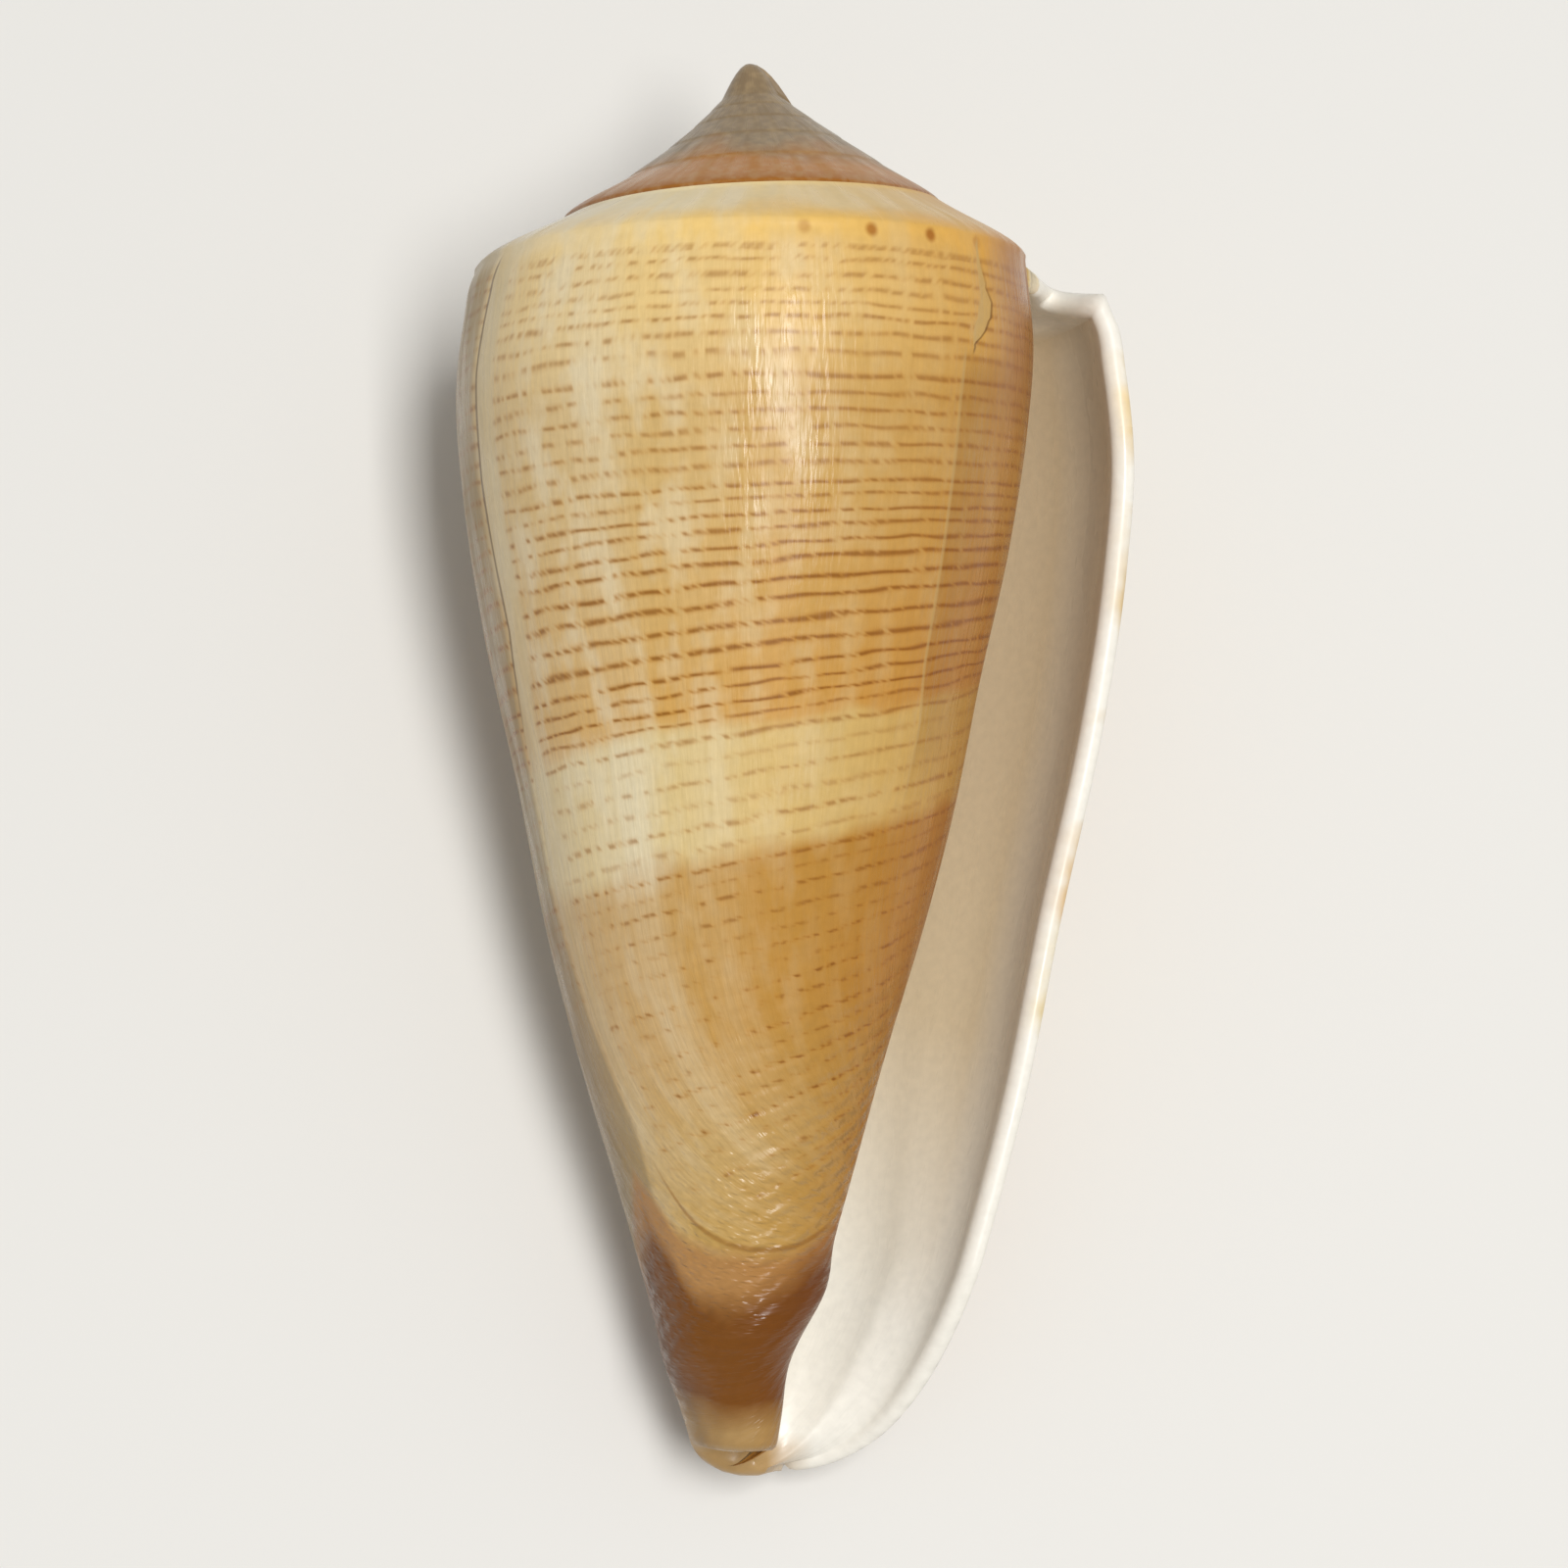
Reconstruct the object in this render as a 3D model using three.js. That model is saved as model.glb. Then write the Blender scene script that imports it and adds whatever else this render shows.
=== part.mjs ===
// A cone shell, grown as one piece: a low stepped spire, a long body whorl that narrows to the
// base, and a narrow aperture, open from the shoulder down to the base, behind a thin outer lip.
// It lies on its back with the aperture up and the apex toward +Y, as such a shell is laid out.
import * as THREE from "three";
import { mergeVertices } from "three/addons/utils/BufferGeometryUtils.js";

// Driving dimensions, in millimetres. A drop is a distance along the axis from the apex.
const BASE_DROP = 55.4;
const COLUMELLA_DROP = 54.9;
const COLUMELLA_RIM_DROP = 53.9;
const SHOULDER_RADIUS = 11.5;
const SHOULDER_DROP = 8.5;
const SHOULDER_ROUNDING = 1.35;
const RAMP_SWELL = 0.176;
const SMALLEST_RADIUS = 0.15;
const COLUMELLA_TIP_X = -1.55;
const COLUMELLA_TIP_Z = 0.25;

// Wall thickness at the lip, behind the aperture and deep inside, and where it changes.
const LIP_THICKNESS = 0.92;
const BACK_WALL = 2.0;
const DEEP_WALL = 1.25;
const THICK_TURN = -0.12;
const THINNING_TURNS = [-0.25, -0.5];
const CORNER_THICKNESS = 0.75;
const SUTURE_THICKNESS = 1.1;

// Growth. A turn of 0 is the lip, -1 is one whorl before it, and sizes grow by a ratio each turn.
const BODY_GROWTH = 1.39;
const SPIRE_GROWTH = 1.45;
const SPIRE_SLOPE = 0.79;
const MEASURED_TURN = -0.5;
const FIRST_TURN = -6;

// The hollow ends deep inside above, and close behind the lip at the base.
const HOLLOW_TURN = -0.9;
const HOLLOW_BASE_TURN = -0.45;
const HOLLOW_RISE_SHARE = 0.62;
const HOLLOW_CLOSING_TURN = 0.16;
const HOLLOW_CLOSING = 0.93;
const HOLLOW_ARCH = 0.05;
const HOLLOW_ROW_FALL = 1.5;
const HOLLOW_GAP = 0.08;

// The shoulder sags where the last whorl is laid on, and lifts just before the lip.
const SAG_TURNS = [-1.45, -1.02];
const SAG_END_TURNS = [-1.0, -0.6];
const SAG_RADIUS = 0.3;
const SAG_DROP = 0.45;
const LIFT_TURN = -0.5;
const LIFT_RADIUS = 0.23;
const LIFT_DROP = 0.38;

// The base's edge is level behind the aperture and rises to the columella.
const BASE_RISE_TURNS = [-0.3, -0.5];

// The side of the body whorl half a turn before the lip, as [drop, radius].
const SIDE_OUTLINE = [
  [8.2, 11.4], [8.9, 11.7], [10.1, 11.9], [13.0, 12.2], [16.9, 11.95], [22.2, 11.15],
  [28.3, 9.8], [34.5, 8.55], [39.1, 7.35], [45.2, 5.5], [51.4, 3.75], [54.4, 2.85],
  [63.0, 0.2], [70.0, 0.1],
];

// The lip's edge leaves its straight line near the base and sweeps back round it.
const LIP_BEND_DROP = 47.2;
const LIP_BEND_START = 0.83;
const LIP_BEND_PULL = 0.045;
const LIP_BEND_TURN = 0.222;
const LIP_NOTCH_TURN = 0.035;
const LIP_BLEND_TURN = 0.5;

// The low ridge that winds round the foot of the columella, and the groove below it.
const RIDGE_DROP = 47.4;
const RIDGE_FALL = 7.0;
const RIDGE_HEIGHT = 0.28;
const RIDGE_WIDTH = 1.1;
const GROOVE_OFFSET = 2.7;
const GROOVE_DEPTH = 0.36;
const GROOVE_WIDTH = 1.5;
const RIDGE_START_TURNS = [-1.2, -1.0];
const RIDGE_END_TURNS = [-0.6, -0.4];

// The early whorls lean to one side of the axis.
const APEX_LEAN = 0.7;
const APEX_LEAN_REACH = 2.9;

// How it lies: rolled toward the left side, on a small flat worn into its back.
const REST_ROLL = THREE.MathUtils.degToRad(-8);
const REST_PITCH = THREE.MathUtils.degToRad(9.7);
const WORN_DEPTH = 0.2;

// Facets.
const STEPS = 48;
const RAMP_ROWS = 4;
const SIDE_ROWS = 22;
const RAMP_CROWDING = 1.6;
const SIDE_CROWDING = 0.06;
const BEAD_STEPS = 3;
const BEAD_HEIGHT = 0.45;
const CAP_RINGS = 3;
const TINY = 1e-4;

const smooth = (from, to, x) => THREE.MathUtils.smoothstep((x - from) / (to - from), 0, 1);
const bump = (x, width) => Math.exp(-((x / width) ** 2));

/** Radius at a drop, on a smooth line through the outline's points. */
function outlineRadius(drop) {
  const last = SIDE_OUTLINE.length - 1;
  const slope = (i) => (SIDE_OUTLINE[i + 1][1] - SIDE_OUTLINE[i][1]) / step(i);
  const step = (i) => SIDE_OUTLINE[i + 1][0] - SIDE_OUTLINE[i][0];
  const tangent = (i) => {
    if (i === 0) return slope(0);
    if (i === last) return slope(last - 1);
    return (slope(i - 1) * step(i) + slope(i) * step(i - 1)) / (step(i - 1) + step(i));
  };
  if (drop <= SIDE_OUTLINE[0][0]) return SIDE_OUTLINE[0][1] + (drop - SIDE_OUTLINE[0][0]) * tangent(0);
  if (drop >= SIDE_OUTLINE[last][0]) return SIDE_OUTLINE[last][1];
  const i = SIDE_OUTLINE.findIndex((point) => point[0] > drop) - 1;
  const s = (drop - SIDE_OUTLINE[i][0]) / step(i);
  return (2 * s ** 3 - 3 * s ** 2 + 1) * SIDE_OUTLINE[i][1]
    + (s ** 3 - 2 * s ** 2 + s) * step(i) * tangent(i)
    + (3 * s ** 2 - 2 * s ** 3) * SIDE_OUTLINE[i + 1][1]
    + (s ** 3 - s ** 2) * step(i) * tangent(i + 1);
}

/** Size at a turn, as a ratio of the size where the outline was measured. */
function growth(turn) {
  if (turn > -1) return BODY_GROWTH ** (turn - MEASURED_TURN);
  return BODY_GROWTH ** (-1 - MEASURED_TURN) * SPIRE_GROWTH ** (turn + 1);
}

/** The shoulder's edge, where the next whorl joins: it drops a little just before the lip. */
function shoulder(turn) {
  const size = growth(turn);
  const sag = smooth(...SAG_TURNS, turn) * (1 - smooth(...SAG_END_TURNS, turn));
  const lift = smooth(LIFT_TURN, 0, turn);
  return {
    radius: SHOULDER_RADIUS * size + SAG_RADIUS * sag - LIFT_RADIUS * lift,
    drop: SHOULDER_DROP * size ** SPIRE_SLOPE + SAG_DROP * sag - LIFT_DROP * lift,
  };
}

/** Radius of the whorl's side below its shoulder. */
function sideRadius(turn, drop) {
  const size = growth(turn);
  const edge = shoulder(turn);
  const grown = (at) => size * outlineRadius(at / size);
  const below = Math.max(drop - edge.drop, 0);
  const offset = (edge.radius - grown(edge.drop)) * Math.exp(-below / SHOULDER_ROUNDING);
  const crest = RIDGE_DROP + RIDGE_FALL * (turn + 1);
  const reach = smooth(...RIDGE_START_TURNS, turn) * (1 - smooth(...RIDGE_END_TURNS, turn));
  const relief = RIDGE_HEIGHT * bump(drop - crest, RIDGE_WIDTH)
    - GROOVE_DEPTH * bump(drop - crest - GROOVE_OFFSET, GROOVE_WIDTH);
  return Math.max(grown(drop) + offset + relief * reach, SMALLEST_RADIUS);
}

/** Wall thickness: thin at the lip, thick behind the aperture, thinner deep inside. */
function wall(turn) {
  return LIP_THICKNESS + (BACK_WALL - LIP_THICKNESS) * smooth(0, THICK_TURN, turn)
    - (BACK_WALL - DEEP_WALL) * smooth(...THINNING_TURNS, turn);
}

/** Point at a turn, radius and drop. The apex is at the origin and the base toward -Y. */
function place(turn, radius, drop) {
  const angle = 2 * Math.PI * turn;
  const lean = -APEX_LEAN * bump(drop, APEX_LEAN_REACH);
  return new THREE.Vector3(lean + radius * Math.cos(angle), -drop, radius * Math.sin(angle));
}

/** Rows crowd toward the shoulder and the base. */
const sideRow = (row) => row / SIDE_ROWS - SIDE_CROWDING * Math.sin(2 * Math.PI * row / SIDE_ROWS);
const rampRow = (row) => 1 - (1 - row / RAMP_ROWS) ** RAMP_CROWDING;

/** The drop at which a wall hides the whorl below it. */
function coveredDrop(turn) {
  return shoulder(turn).drop + SUTURE_THICKNESS * wall(Math.min(turn + 1, 0));
}

/** The base runs level behind the aperture and rises a little to the columella. */
function baseDrop(turn) {
  return THREE.MathUtils.lerp(BASE_DROP, COLUMELLA_RIM_DROP, smooth(...BASE_RISE_TURNS, turn));
}

/** How far the lip's edge has swept back at a share of the way down the side. */
function lipBend(share) {
  const s = THREE.MathUtils.clamp((share - LIP_BEND_START) / (1 - LIP_BEND_START), 0, 1);
  const back = 2 * s * (1 - s) * LIP_BEND_PULL + s * s * LIP_BEND_TURN;
  const down = 1 - (1 - s) ** 2;
  return { back, down };
}

/** Turn and drop of a point of the side, at a share of the way from shoulder to base. */
function sidePlace(turn, share) {
  const near = smooth(-LIP_BLEND_TURN, 0, turn);
  const bend = lipBend(share);
  const top = shoulder(turn).drop;
  const bentTurn = turn - bend.back * near;
  const plain = top + (baseDrop(bentTurn) - top) * share;
  const straight = top + (LIP_BEND_DROP - top) * Math.min(share / LIP_BEND_START, 1);
  const bent = straight + (BASE_DROP - LIP_BEND_DROP) * bend.down;
  return { turn: bentTurn, drop: THREE.MathUtils.lerp(plain, bent, near) };
}

/** Outer points of a column: across the ramp from suture to shoulder, then down the side. */
function outerColumn(turn, withSide = true) {
  const suture = shoulder(turn - 1);
  const edge = shoulder(turn);
  const across = edge.radius - suture.radius;
  const down = edge.drop - suture.drop;
  const near = smooth(-LIP_BLEND_TURN, 0, turn);
  const points = [];
  for (let row = 0; row <= RAMP_ROWS; row += 1) {
    const s = rampRow(row);
    const swell = RAMP_SWELL * s ** 1.8 * (1 - s) ** 0.4;
    const notch = LIP_NOTCH_TURN * Math.sin(Math.PI * s) * near ** 4;
    points.push(place(
      turn - notch,
      suture.radius + across * s + down * swell,
      suture.drop + down * s - across * swell,
    ));
  }
  if (!withSide) return points;
  points.push(place(turn, sideRadius(turn, coveredDrop(turn)), coveredDrop(turn)));
  for (let row = 2; row <= SIDE_ROWS; row += 1) {
    const at = sidePlace(turn, sideRow(row));
    points.push(place(at.turn, sideRadius(at.turn, at.drop), at.drop));
  }
  return points;
}

/** The turn at which the hollow ends, deep inside above and close behind the lip at the base. */
function hollowEnd(share) {
  return THREE.MathUtils.lerp(HOLLOW_TURN, HOLLOW_BASE_TURN, smooth(HOLLOW_RISE_SHARE, 1, share));
}

/** First point of the hollow's floor, where the wall of the next whorl meets it. */
function floorTop(turn) {
  return { radius: sideRadius(turn, coveredDrop(turn)), drop: coveredDrop(turn) };
}

/** Floor of the hollow: the side of the whorl before, from under the wall to the base. */
function floorColumn(turn) {
  const top = floorTop(turn);
  const points = new Array(RAMP_ROWS + 2).fill(place(turn, top.radius, top.drop));
  for (let row = 2; row <= SIDE_ROWS; row += 1) {
    const share = sideRow(row);
    const at = -1 + (turn + 1) * hollowEnd(share) / HOLLOW_TURN;
    const start = shoulder(at).drop;
    const drop = start + (COLUMELLA_RIM_DROP - start) * share;
    points.push(place(at, sideRadius(at, drop), drop));
  }
  return points;
}

/** Inner face of the wall, from the floor under the ramp round the shoulder and down. */
function innerColumn(turn) {
  const top = floorTop(turn - 1);
  const thickness = wall(turn);
  const closing = HOLLOW_CLOSING * smooth(HOLLOW_TURN + HOLLOW_CLOSING_TURN, HOLLOW_TURN, turn);
  const near = smooth(-LIP_BLEND_TURN, 0, turn);
  const edge = shoulder(turn);
  const corner = {
    radius: edge.radius - thickness,
    drop: edge.drop + CORNER_THICKNESS * thickness,
  };
  const reach = Math.hypot(corner.radius - top.radius, corner.drop - top.drop);
  const points = [];
  for (let row = 0; row < RAMP_ROWS; row += 1) {
    const s = row / RAMP_ROWS;
    const arch = HOLLOW_ARCH * Math.sin(Math.PI * s) * reach;
    const radius = THREE.MathUtils.lerp(top.radius, corner.radius, s);
    const drop = THREE.MathUtils.lerp(top.drop, corner.drop, s) - arch;
    const notch = LIP_NOTCH_TURN * Math.sin(Math.PI * s) * near ** 4;
    points.push(place(
      turn - notch,
      THREE.MathUtils.lerp(radius, top.radius, closing),
      THREE.MathUtils.lerp(drop, top.drop, closing),
    ));
  }
  for (let row = 0; row <= SIDE_ROWS; row += 1) {
    const share = sideRow(row);
    const at = THREE.MathUtils.lerp(-lipBend(share).back, hollowEnd(share), turn / HOLLOW_TURN);
    const start = shoulder(at).drop + CORNER_THICKNESS * thickness;
    const least = start + HOLLOW_ROW_FALL * share;
    const drop = row === 0 ? start : Math.max(sidePlace(turn, share).drop, least);
    const floor = sideRadius(at - 1, drop);
    const radius = Math.max(sideRadius(at, drop) - thickness, floor + HOLLOW_GAP);
    points.push(place(at, THREE.MathUtils.lerp(radius, floor, closing), drop));
  }
  return points;
}

/** Rounded edge between two matching rows of points, swelling along a direction for each. */
function bead(from, to, swellings) {
  const rows = [];
  for (let step = 1; step < BEAD_STEPS; step += 1) {
    const angle = Math.PI * step / BEAD_STEPS;
    rows.push(from.map((a, n) => {
      const b = to[n];
      const height = BEAD_HEIGHT * Math.min(a.distanceTo(b), LIP_THICKNESS);
      return a.clone().lerp(b, (1 - Math.cos(angle)) / 2)
        .addScaledVector(swellings[n], height * Math.sin(angle));
    }));
  }
  return rows;
}

/** Direction in which the lip's edge swells: onward along the growth, square to the edge. */
function lipSwellings(edge, before) {
  return edge.map((point, n) => {
    const along = edge[Math.min(n + 1, edge.length - 1)].clone()
      .sub(edge[Math.max(n - 1, 0)]).normalize();
    const onward = point.clone().sub(before[n]);
    return onward.addScaledVector(along, -onward.dot(along)).normalize();
  });
}

/** Triangles of the skin, kept as loose corners until they are merged. */
const corners = [];
function triangle(a, b, c) {
  if (a.distanceTo(b) < TINY || b.distanceTo(c) < TINY || c.distanceTo(a) < TINY) return;
  corners.push(...a, ...b, ...c);
}

/** Skin between each row of points and the next. */
function weave(rows) {
  for (let r = 0; r + 1 < rows.length; r += 1) {
    for (let n = 0; n + 1 < rows[r].length; n += 1) {
      triangle(rows[r][n], rows[r + 1][n], rows[r + 1][n + 1]);
      triangle(rows[r][n], rows[r + 1][n + 1], rows[r][n + 1]);
    }
  }
}

/** Domed cap over a closed loop of points. */
function cap(loop, top) {
  const ring = [...loop, loop[0]];
  const rings = [ring];
  for (let step = 1; step <= CAP_RINGS; step += 1) {
    const inward = step / CAP_RINGS;
    rings.push(ring.map((point) => {
      const moved = point.clone().lerp(top, inward);
      moved.y = THREE.MathUtils.lerp(point.y, top.y, Math.sin(inward * Math.PI / 2));
      return moved;
    }));
  }
  weave(rings.reverse());
}

const turnAt = (step) => step / STEPS;
const steps = (from, to) => Array.from(
  { length: Math.abs(to - from) + 1 },
  (_, n) => from + n * Math.sign(to - from),
);
const hollowSteps = Math.round(HOLLOW_TURN * STEPS);
const firstStep = FIRST_TURN * STEPS;

// Spire: only the ramps show, each joined to the shoulder of the whorl before it.
const spire = steps(firstStep, -STEPS).map((step) => outerColumn(turnAt(step), false));
weave(spire);

// Body whorl, round the lip's edge, back along the inner face, and out again over the floor.
const outer = steps(-STEPS, 0).map((step) => outerColumn(turnAt(step)));
const inner = steps(0, hollowSteps).map((step) => innerColumn(turnAt(step)));
const floor = steps(hollowSteps - STEPS, -STEPS).map((step) => floorColumn(turnAt(step)));
floor[floor.length - 1] = outer[0].map((point, row) => outer[0][Math.max(row, RAMP_ROWS + 1)]);
const lip = outer[outer.length - 1];
const lipBead = bead(lip, inner[0], lipSwellings(lip, outer[outer.length - 2]));
lipBead.forEach((row, n) => { row[0] = n === 0 ? lip[0] : inner[0][0]; });
weave([...outer, ...lipBead, ...inner, ...floor]);

// Foot of the wall, rounded like the lip, from the lip back to the end of the hollow.
const lastOf = (column) => column[column.length - 1];
const outerFoot = outer.slice(STEPS + hollowSteps).reverse().map(lastOf);
const innerFoot = inner.map(lastOf);
const down = outerFoot.map(() => new THREE.Vector3(0, -1, 0));
const footBead = bead(outerFoot, innerFoot, down);
footBead.forEach((row, n) => { row[0] = lastOf(lipBead[n]); });
weave([outerFoot, ...footBead, innerFoot]);

// End of the columella.
const columellaLoop = [
  ...outer.slice(0, STEPS + hollowSteps + 1).map(lastOf),
  ...footBead.map(lastOf),
  lastOf(innerFoot),
  ...floor.slice(0, -1).map(lastOf),
];
cap(columellaLoop, new THREE.Vector3(COLUMELLA_TIP_X, -COLUMELLA_DROP, COLUMELLA_TIP_Z));

// Apex, over the first turn of the ribbon.
const firstRamp = spire[0];
const apexLoop = [
  ...spire.slice(0, STEPS + 1).map((column) => column[0]),
  ...firstRamp.slice(1, RAMP_ROWS).reverse(),
];
cap(apexLoop.reverse(), new THREE.Vector3(-APEX_LEAN, 0, 0));

const loose = new THREE.BufferGeometry();
loose.setAttribute("position", new THREE.Float32BufferAttribute(corners, 3));
const shellGeometry = mergeVertices(loose, TINY);

// Turned to lie on its back, and worn flat there so that it does not rock.
const lying = new THREE.Euler(REST_PITCH, REST_ROLL, 0);
shellGeometry.applyMatrix4(new THREE.Matrix4().makeRotationFromEuler(lying));
shellGeometry.computeBoundingBox();
const flatLevel = shellGeometry.boundingBox.min.z + WORN_DEPTH;
const skin = shellGeometry.getAttribute("position");
for (let n = 0; n < skin.count; n += 1) {
  skin.setZ(n, Math.max(skin.getZ(n), flatLevel));
}
shellGeometry.computeVertexNormals();

const shellMaterial = new THREE.MeshStandardMaterial({
  color: 0xdcb878,
  roughness: 0.3,
  metalness: 0,
});
const shell = new THREE.Mesh(shellGeometry, shellMaterial);
shell.name = "cone_shell";

// The middle of its footprint is at the origin, and its lowest point at Z = 0.
shellGeometry.computeBoundingBox();
const middle = shellGeometry.boundingBox.getCenter(new THREE.Vector3());
shell.position.set(-middle.x, -middle.y, -flatLevel);

const part = new THREE.Group();
part.add(shell);

export default part;
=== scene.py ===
"""A glossy cone shell with dashed spiral rows, lying with its aperture up on a pale floor."""

import math
import bpy
import numpy as np
from mathutils import Matrix, Vector


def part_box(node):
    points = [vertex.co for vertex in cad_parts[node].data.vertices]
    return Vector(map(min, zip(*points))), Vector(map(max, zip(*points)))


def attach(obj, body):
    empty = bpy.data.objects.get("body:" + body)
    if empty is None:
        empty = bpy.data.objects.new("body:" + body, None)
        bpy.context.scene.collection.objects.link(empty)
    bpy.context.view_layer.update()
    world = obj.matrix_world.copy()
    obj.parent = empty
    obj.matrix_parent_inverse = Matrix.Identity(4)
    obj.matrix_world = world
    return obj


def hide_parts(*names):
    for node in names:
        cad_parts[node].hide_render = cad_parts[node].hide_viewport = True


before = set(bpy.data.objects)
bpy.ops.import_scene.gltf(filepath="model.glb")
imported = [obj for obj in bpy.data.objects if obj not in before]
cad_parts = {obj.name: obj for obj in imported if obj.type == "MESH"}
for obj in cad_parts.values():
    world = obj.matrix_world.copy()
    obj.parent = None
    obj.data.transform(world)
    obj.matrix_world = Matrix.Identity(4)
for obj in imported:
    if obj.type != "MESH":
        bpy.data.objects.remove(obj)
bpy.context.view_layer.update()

bl_info = {
    "name": "Cone shell",
    "version": (1, 0, 0),
    "blender": (4, 5, 0),
    "location": "View3D > Sidebar > Shell",
    "description": "Grows a cone shell and sets it on a studio floor",
    "category": "Add Mesh",
}

MM = 0.001

# A turn is a place along the spiral: 0 at the lip and 1 less for each whorl before it. A row place
# is how far down the side a point lies, in mm. One turn reaches this far round the side, in mm.
ROUND_SIDE = 72

# The side of the body whorl half a turn before the lip, as drop from the apex and radius, in mm.
SIDE_OUTLINE = np.array([
    (8.2, 11.4), (8.9, 11.7), (10.1, 11.9), (13, 12.2), (16.9, 11.95), (22.2, 11.15),
    (28.3, 9.8), (34.5, 8.55), (39.1, 7.35), (45.2, 5.5), (51.4, 3.75), (54.4, 2.85),
    (63, 0.2), (70, 0.1),
])
MEASURED_TURN = -0.5
SMALLEST_RADIUS = 0.15
EDGE_BLEND = 1.35

# The ramp between suture and shoulder: how far it bulges, as a share of its width, in the early
# whorls and in the last, and how far back it is notched at the lip, in turns.
RAMP_SWELL_EARLY, RAMP_SWELL = 0.04, 0.176
LIP_NOTCH = 0.035

# The lip's edge bends back round the base: the share of the way down where it starts, the share
# that it bends over, and the two points that draw the bend, in turns.
BEND_START, BEND_REACH = 0.83, 0.17
BEND_PULL, BEND_BACK = 0.045, 0.222
LIP_BLEND_TURN = 0.5

# The low ridge round the columella's foot and the groove below it, in mm.
RIDGE_WIDTH, RIDGE_FALL = 1.1, 7
GROOVE_WIDTH, GROOVE_BELOW = 1.5, 2.7

# The hollow: the turns where it ends above and at the base, how it closes there, and the shape
# of its ceiling and of its narrowest gap.
HOLLOW_TURN, HOLLOW_BASE_TURN = -0.9, -0.45
CLOSING_TURNS, CLOSED_SHARE = 0.16, 0.93
CEILING_ARCH, CORNER_DROP = 0.05, 0.75
SMALLEST_GAP = 0.08
BEAD_HEIGHT = 0.45
COLUMELLA_TIP = (-1.55, 0.25)

# Growth lines sweep forward below a row, over this many mm, by this much of a turn.
SWEEP_ROW, SWEEP_LENGTH, SWEEP = 33, 18, 0.25

# The spiral rows of dashes: each row's place and how strong it is.
ROWS = [
    (9.4, 0.4), (9.8, 0.45), (10.4, 0.5), (11, 0.42), (11.5, 0.45), (12, 0.62), (12.65, 0.52),
    (13.35, 0.48), (14.3, 0.65), (15, 0.5), (15.7, 0.62), (16.4, 0.5), (17.1, 0.62),
    (17.85, 0.55), (18.65, 0.75), (19.25, 0.6), (19.9, 0.8), (20.5, 0.75), (21.2, 0.82),
    (21.85, 0.9), (22.7, 1), (23.5, 0.92), (24.4, 0.9), (25.3, 0.95), (26.2, 1), (26.8, 0.9),
    (27.4, 1), (27.95, 0.7), (28.7, 0.6), (29.5, 0.22), (30.3, 0.42), (31.2, 0.3), (32.1, 0.6),
    (32.95, 0.3), (33.8, 0.72), (34.4, 0.3), (35.1, 0.55), (36, 0.4), (36.7, 0.28), (37.45, 0.5),
    (38.1, 0.26), (38.9, 0.6), (39.65, 0.4), (40.7, 0.55), (41.5, 0.32), (42.3, 0.6), (43.1, 0.35),
    (44.05, 0.62), (44.9, 0.35), (46.1, 0.45), (46.85, 0.2), (47.5, 0.4), (48.4, 0.15),
    (49.3, 0.1), (50.2, 0),
]

# Scars of the growth, as row place and turn: the old lip's edge at the left, a healed crack at the
# right and the two edges of a healed chip. The thin line round the base is turn and row place.
OLD_LIP = [
    (6, -0.58), (8.5, -0.577), (9.5, -0.571), (13, -0.562), (17, -0.56), (23, -0.567),
    (27, -0.556), (33, -0.555), (38, -0.57), (43, -0.598),
]
CRACK = [
    (12, -0.871), (15, -0.868), (22, -0.866), (27, -0.865), (29.5, -0.869), (33, -0.862),
]
CHIP_RIGHT = [
    (8.4, -0.888), (9.5, -0.889), (10.2, -0.891), (10.9, -0.8952), (11.5, -0.8938),
    (12.1, -0.887), (12.7, -0.878), (13.1, -0.876),
]
CHIP_LEFT = [(8.4, -0.8836), (10.8, -0.884), (11.3, -0.8816), (12.25, -0.8755), (13.1, -0.876)]
BASE_LINE = [
    (-1, 51.6), (-0.85, 51.05), (-0.8375, 50.99), (-0.825, 50.91), (-0.8125, 50.81), (-0.8, 50.7),
    (-0.7875, 50.56), (-0.775, 50.39), (-0.7625, 50.2), (-0.75, 50), (-0.7375, 49.79),
    (-0.725, 49.55), (-0.7125, 49.29), (-0.7, 49), (-0.6875, 48.66), (-0.675, 48.28),
    (-0.6625, 47.83), (-0.65, 47.3), (-0.6375, 46.62), (-0.625, 45.75), (-0.6125, 44.72),
    (-0.6, 43.25), (-0.598, 43), (-0.57, 40), (-0.4, 38),
]

# Facets of the skin: places along the growth, across the ramp and down the side.
EARLY_WHORLS = 5
SIDE_STEPS, BACK_STEPS, BACK_TURN = 240, 120, -0.4
RAMP_ROWS, HIDDEN_ROWS, SIDE_ROWS = 12, 4, 144
BEAD_STEPS = CAP_RINGS = 6
WELD = 1e-4

# Soft patches on the surface: how wide they are round the side and how long down it, in mm, and
# how many finer sizes lie over them. Real scratches are finer than 0.1 mm, and these are as coarse
# as it takes to show them. Dashes and beads take one row each, so their length is 1.
PALE_PATCHES = 1.5, 3.125, 3
ROW_WAVES = 1.81818, 1, 1
DASHES = 0.43478, 1, 0
BEADS = 0.2, 1, 0
DASH_GROUPS = 0.576, 6.25, 1
SCRATCHES = 0.218182, 1.42857, 2
THREAD_BREAKS = 0.8, 0.90909, 1
POLISH = 1.2, 4, 3
STRAND_WIDTH = 0.342857
CLOUD_SIZE, SPECKLE_SIZE = 4.54545, 0.384615
THREAD_PITCH = 0.85
RELIEF_DEPTH = 0.05

# How far the rows waver, in mm, and how far apart rows lie in the noise, so that no two share it.
ROW_WAVER = 0.07
DASH_JUMP, BEAD_JUMP = 7.31, 5.77

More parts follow.
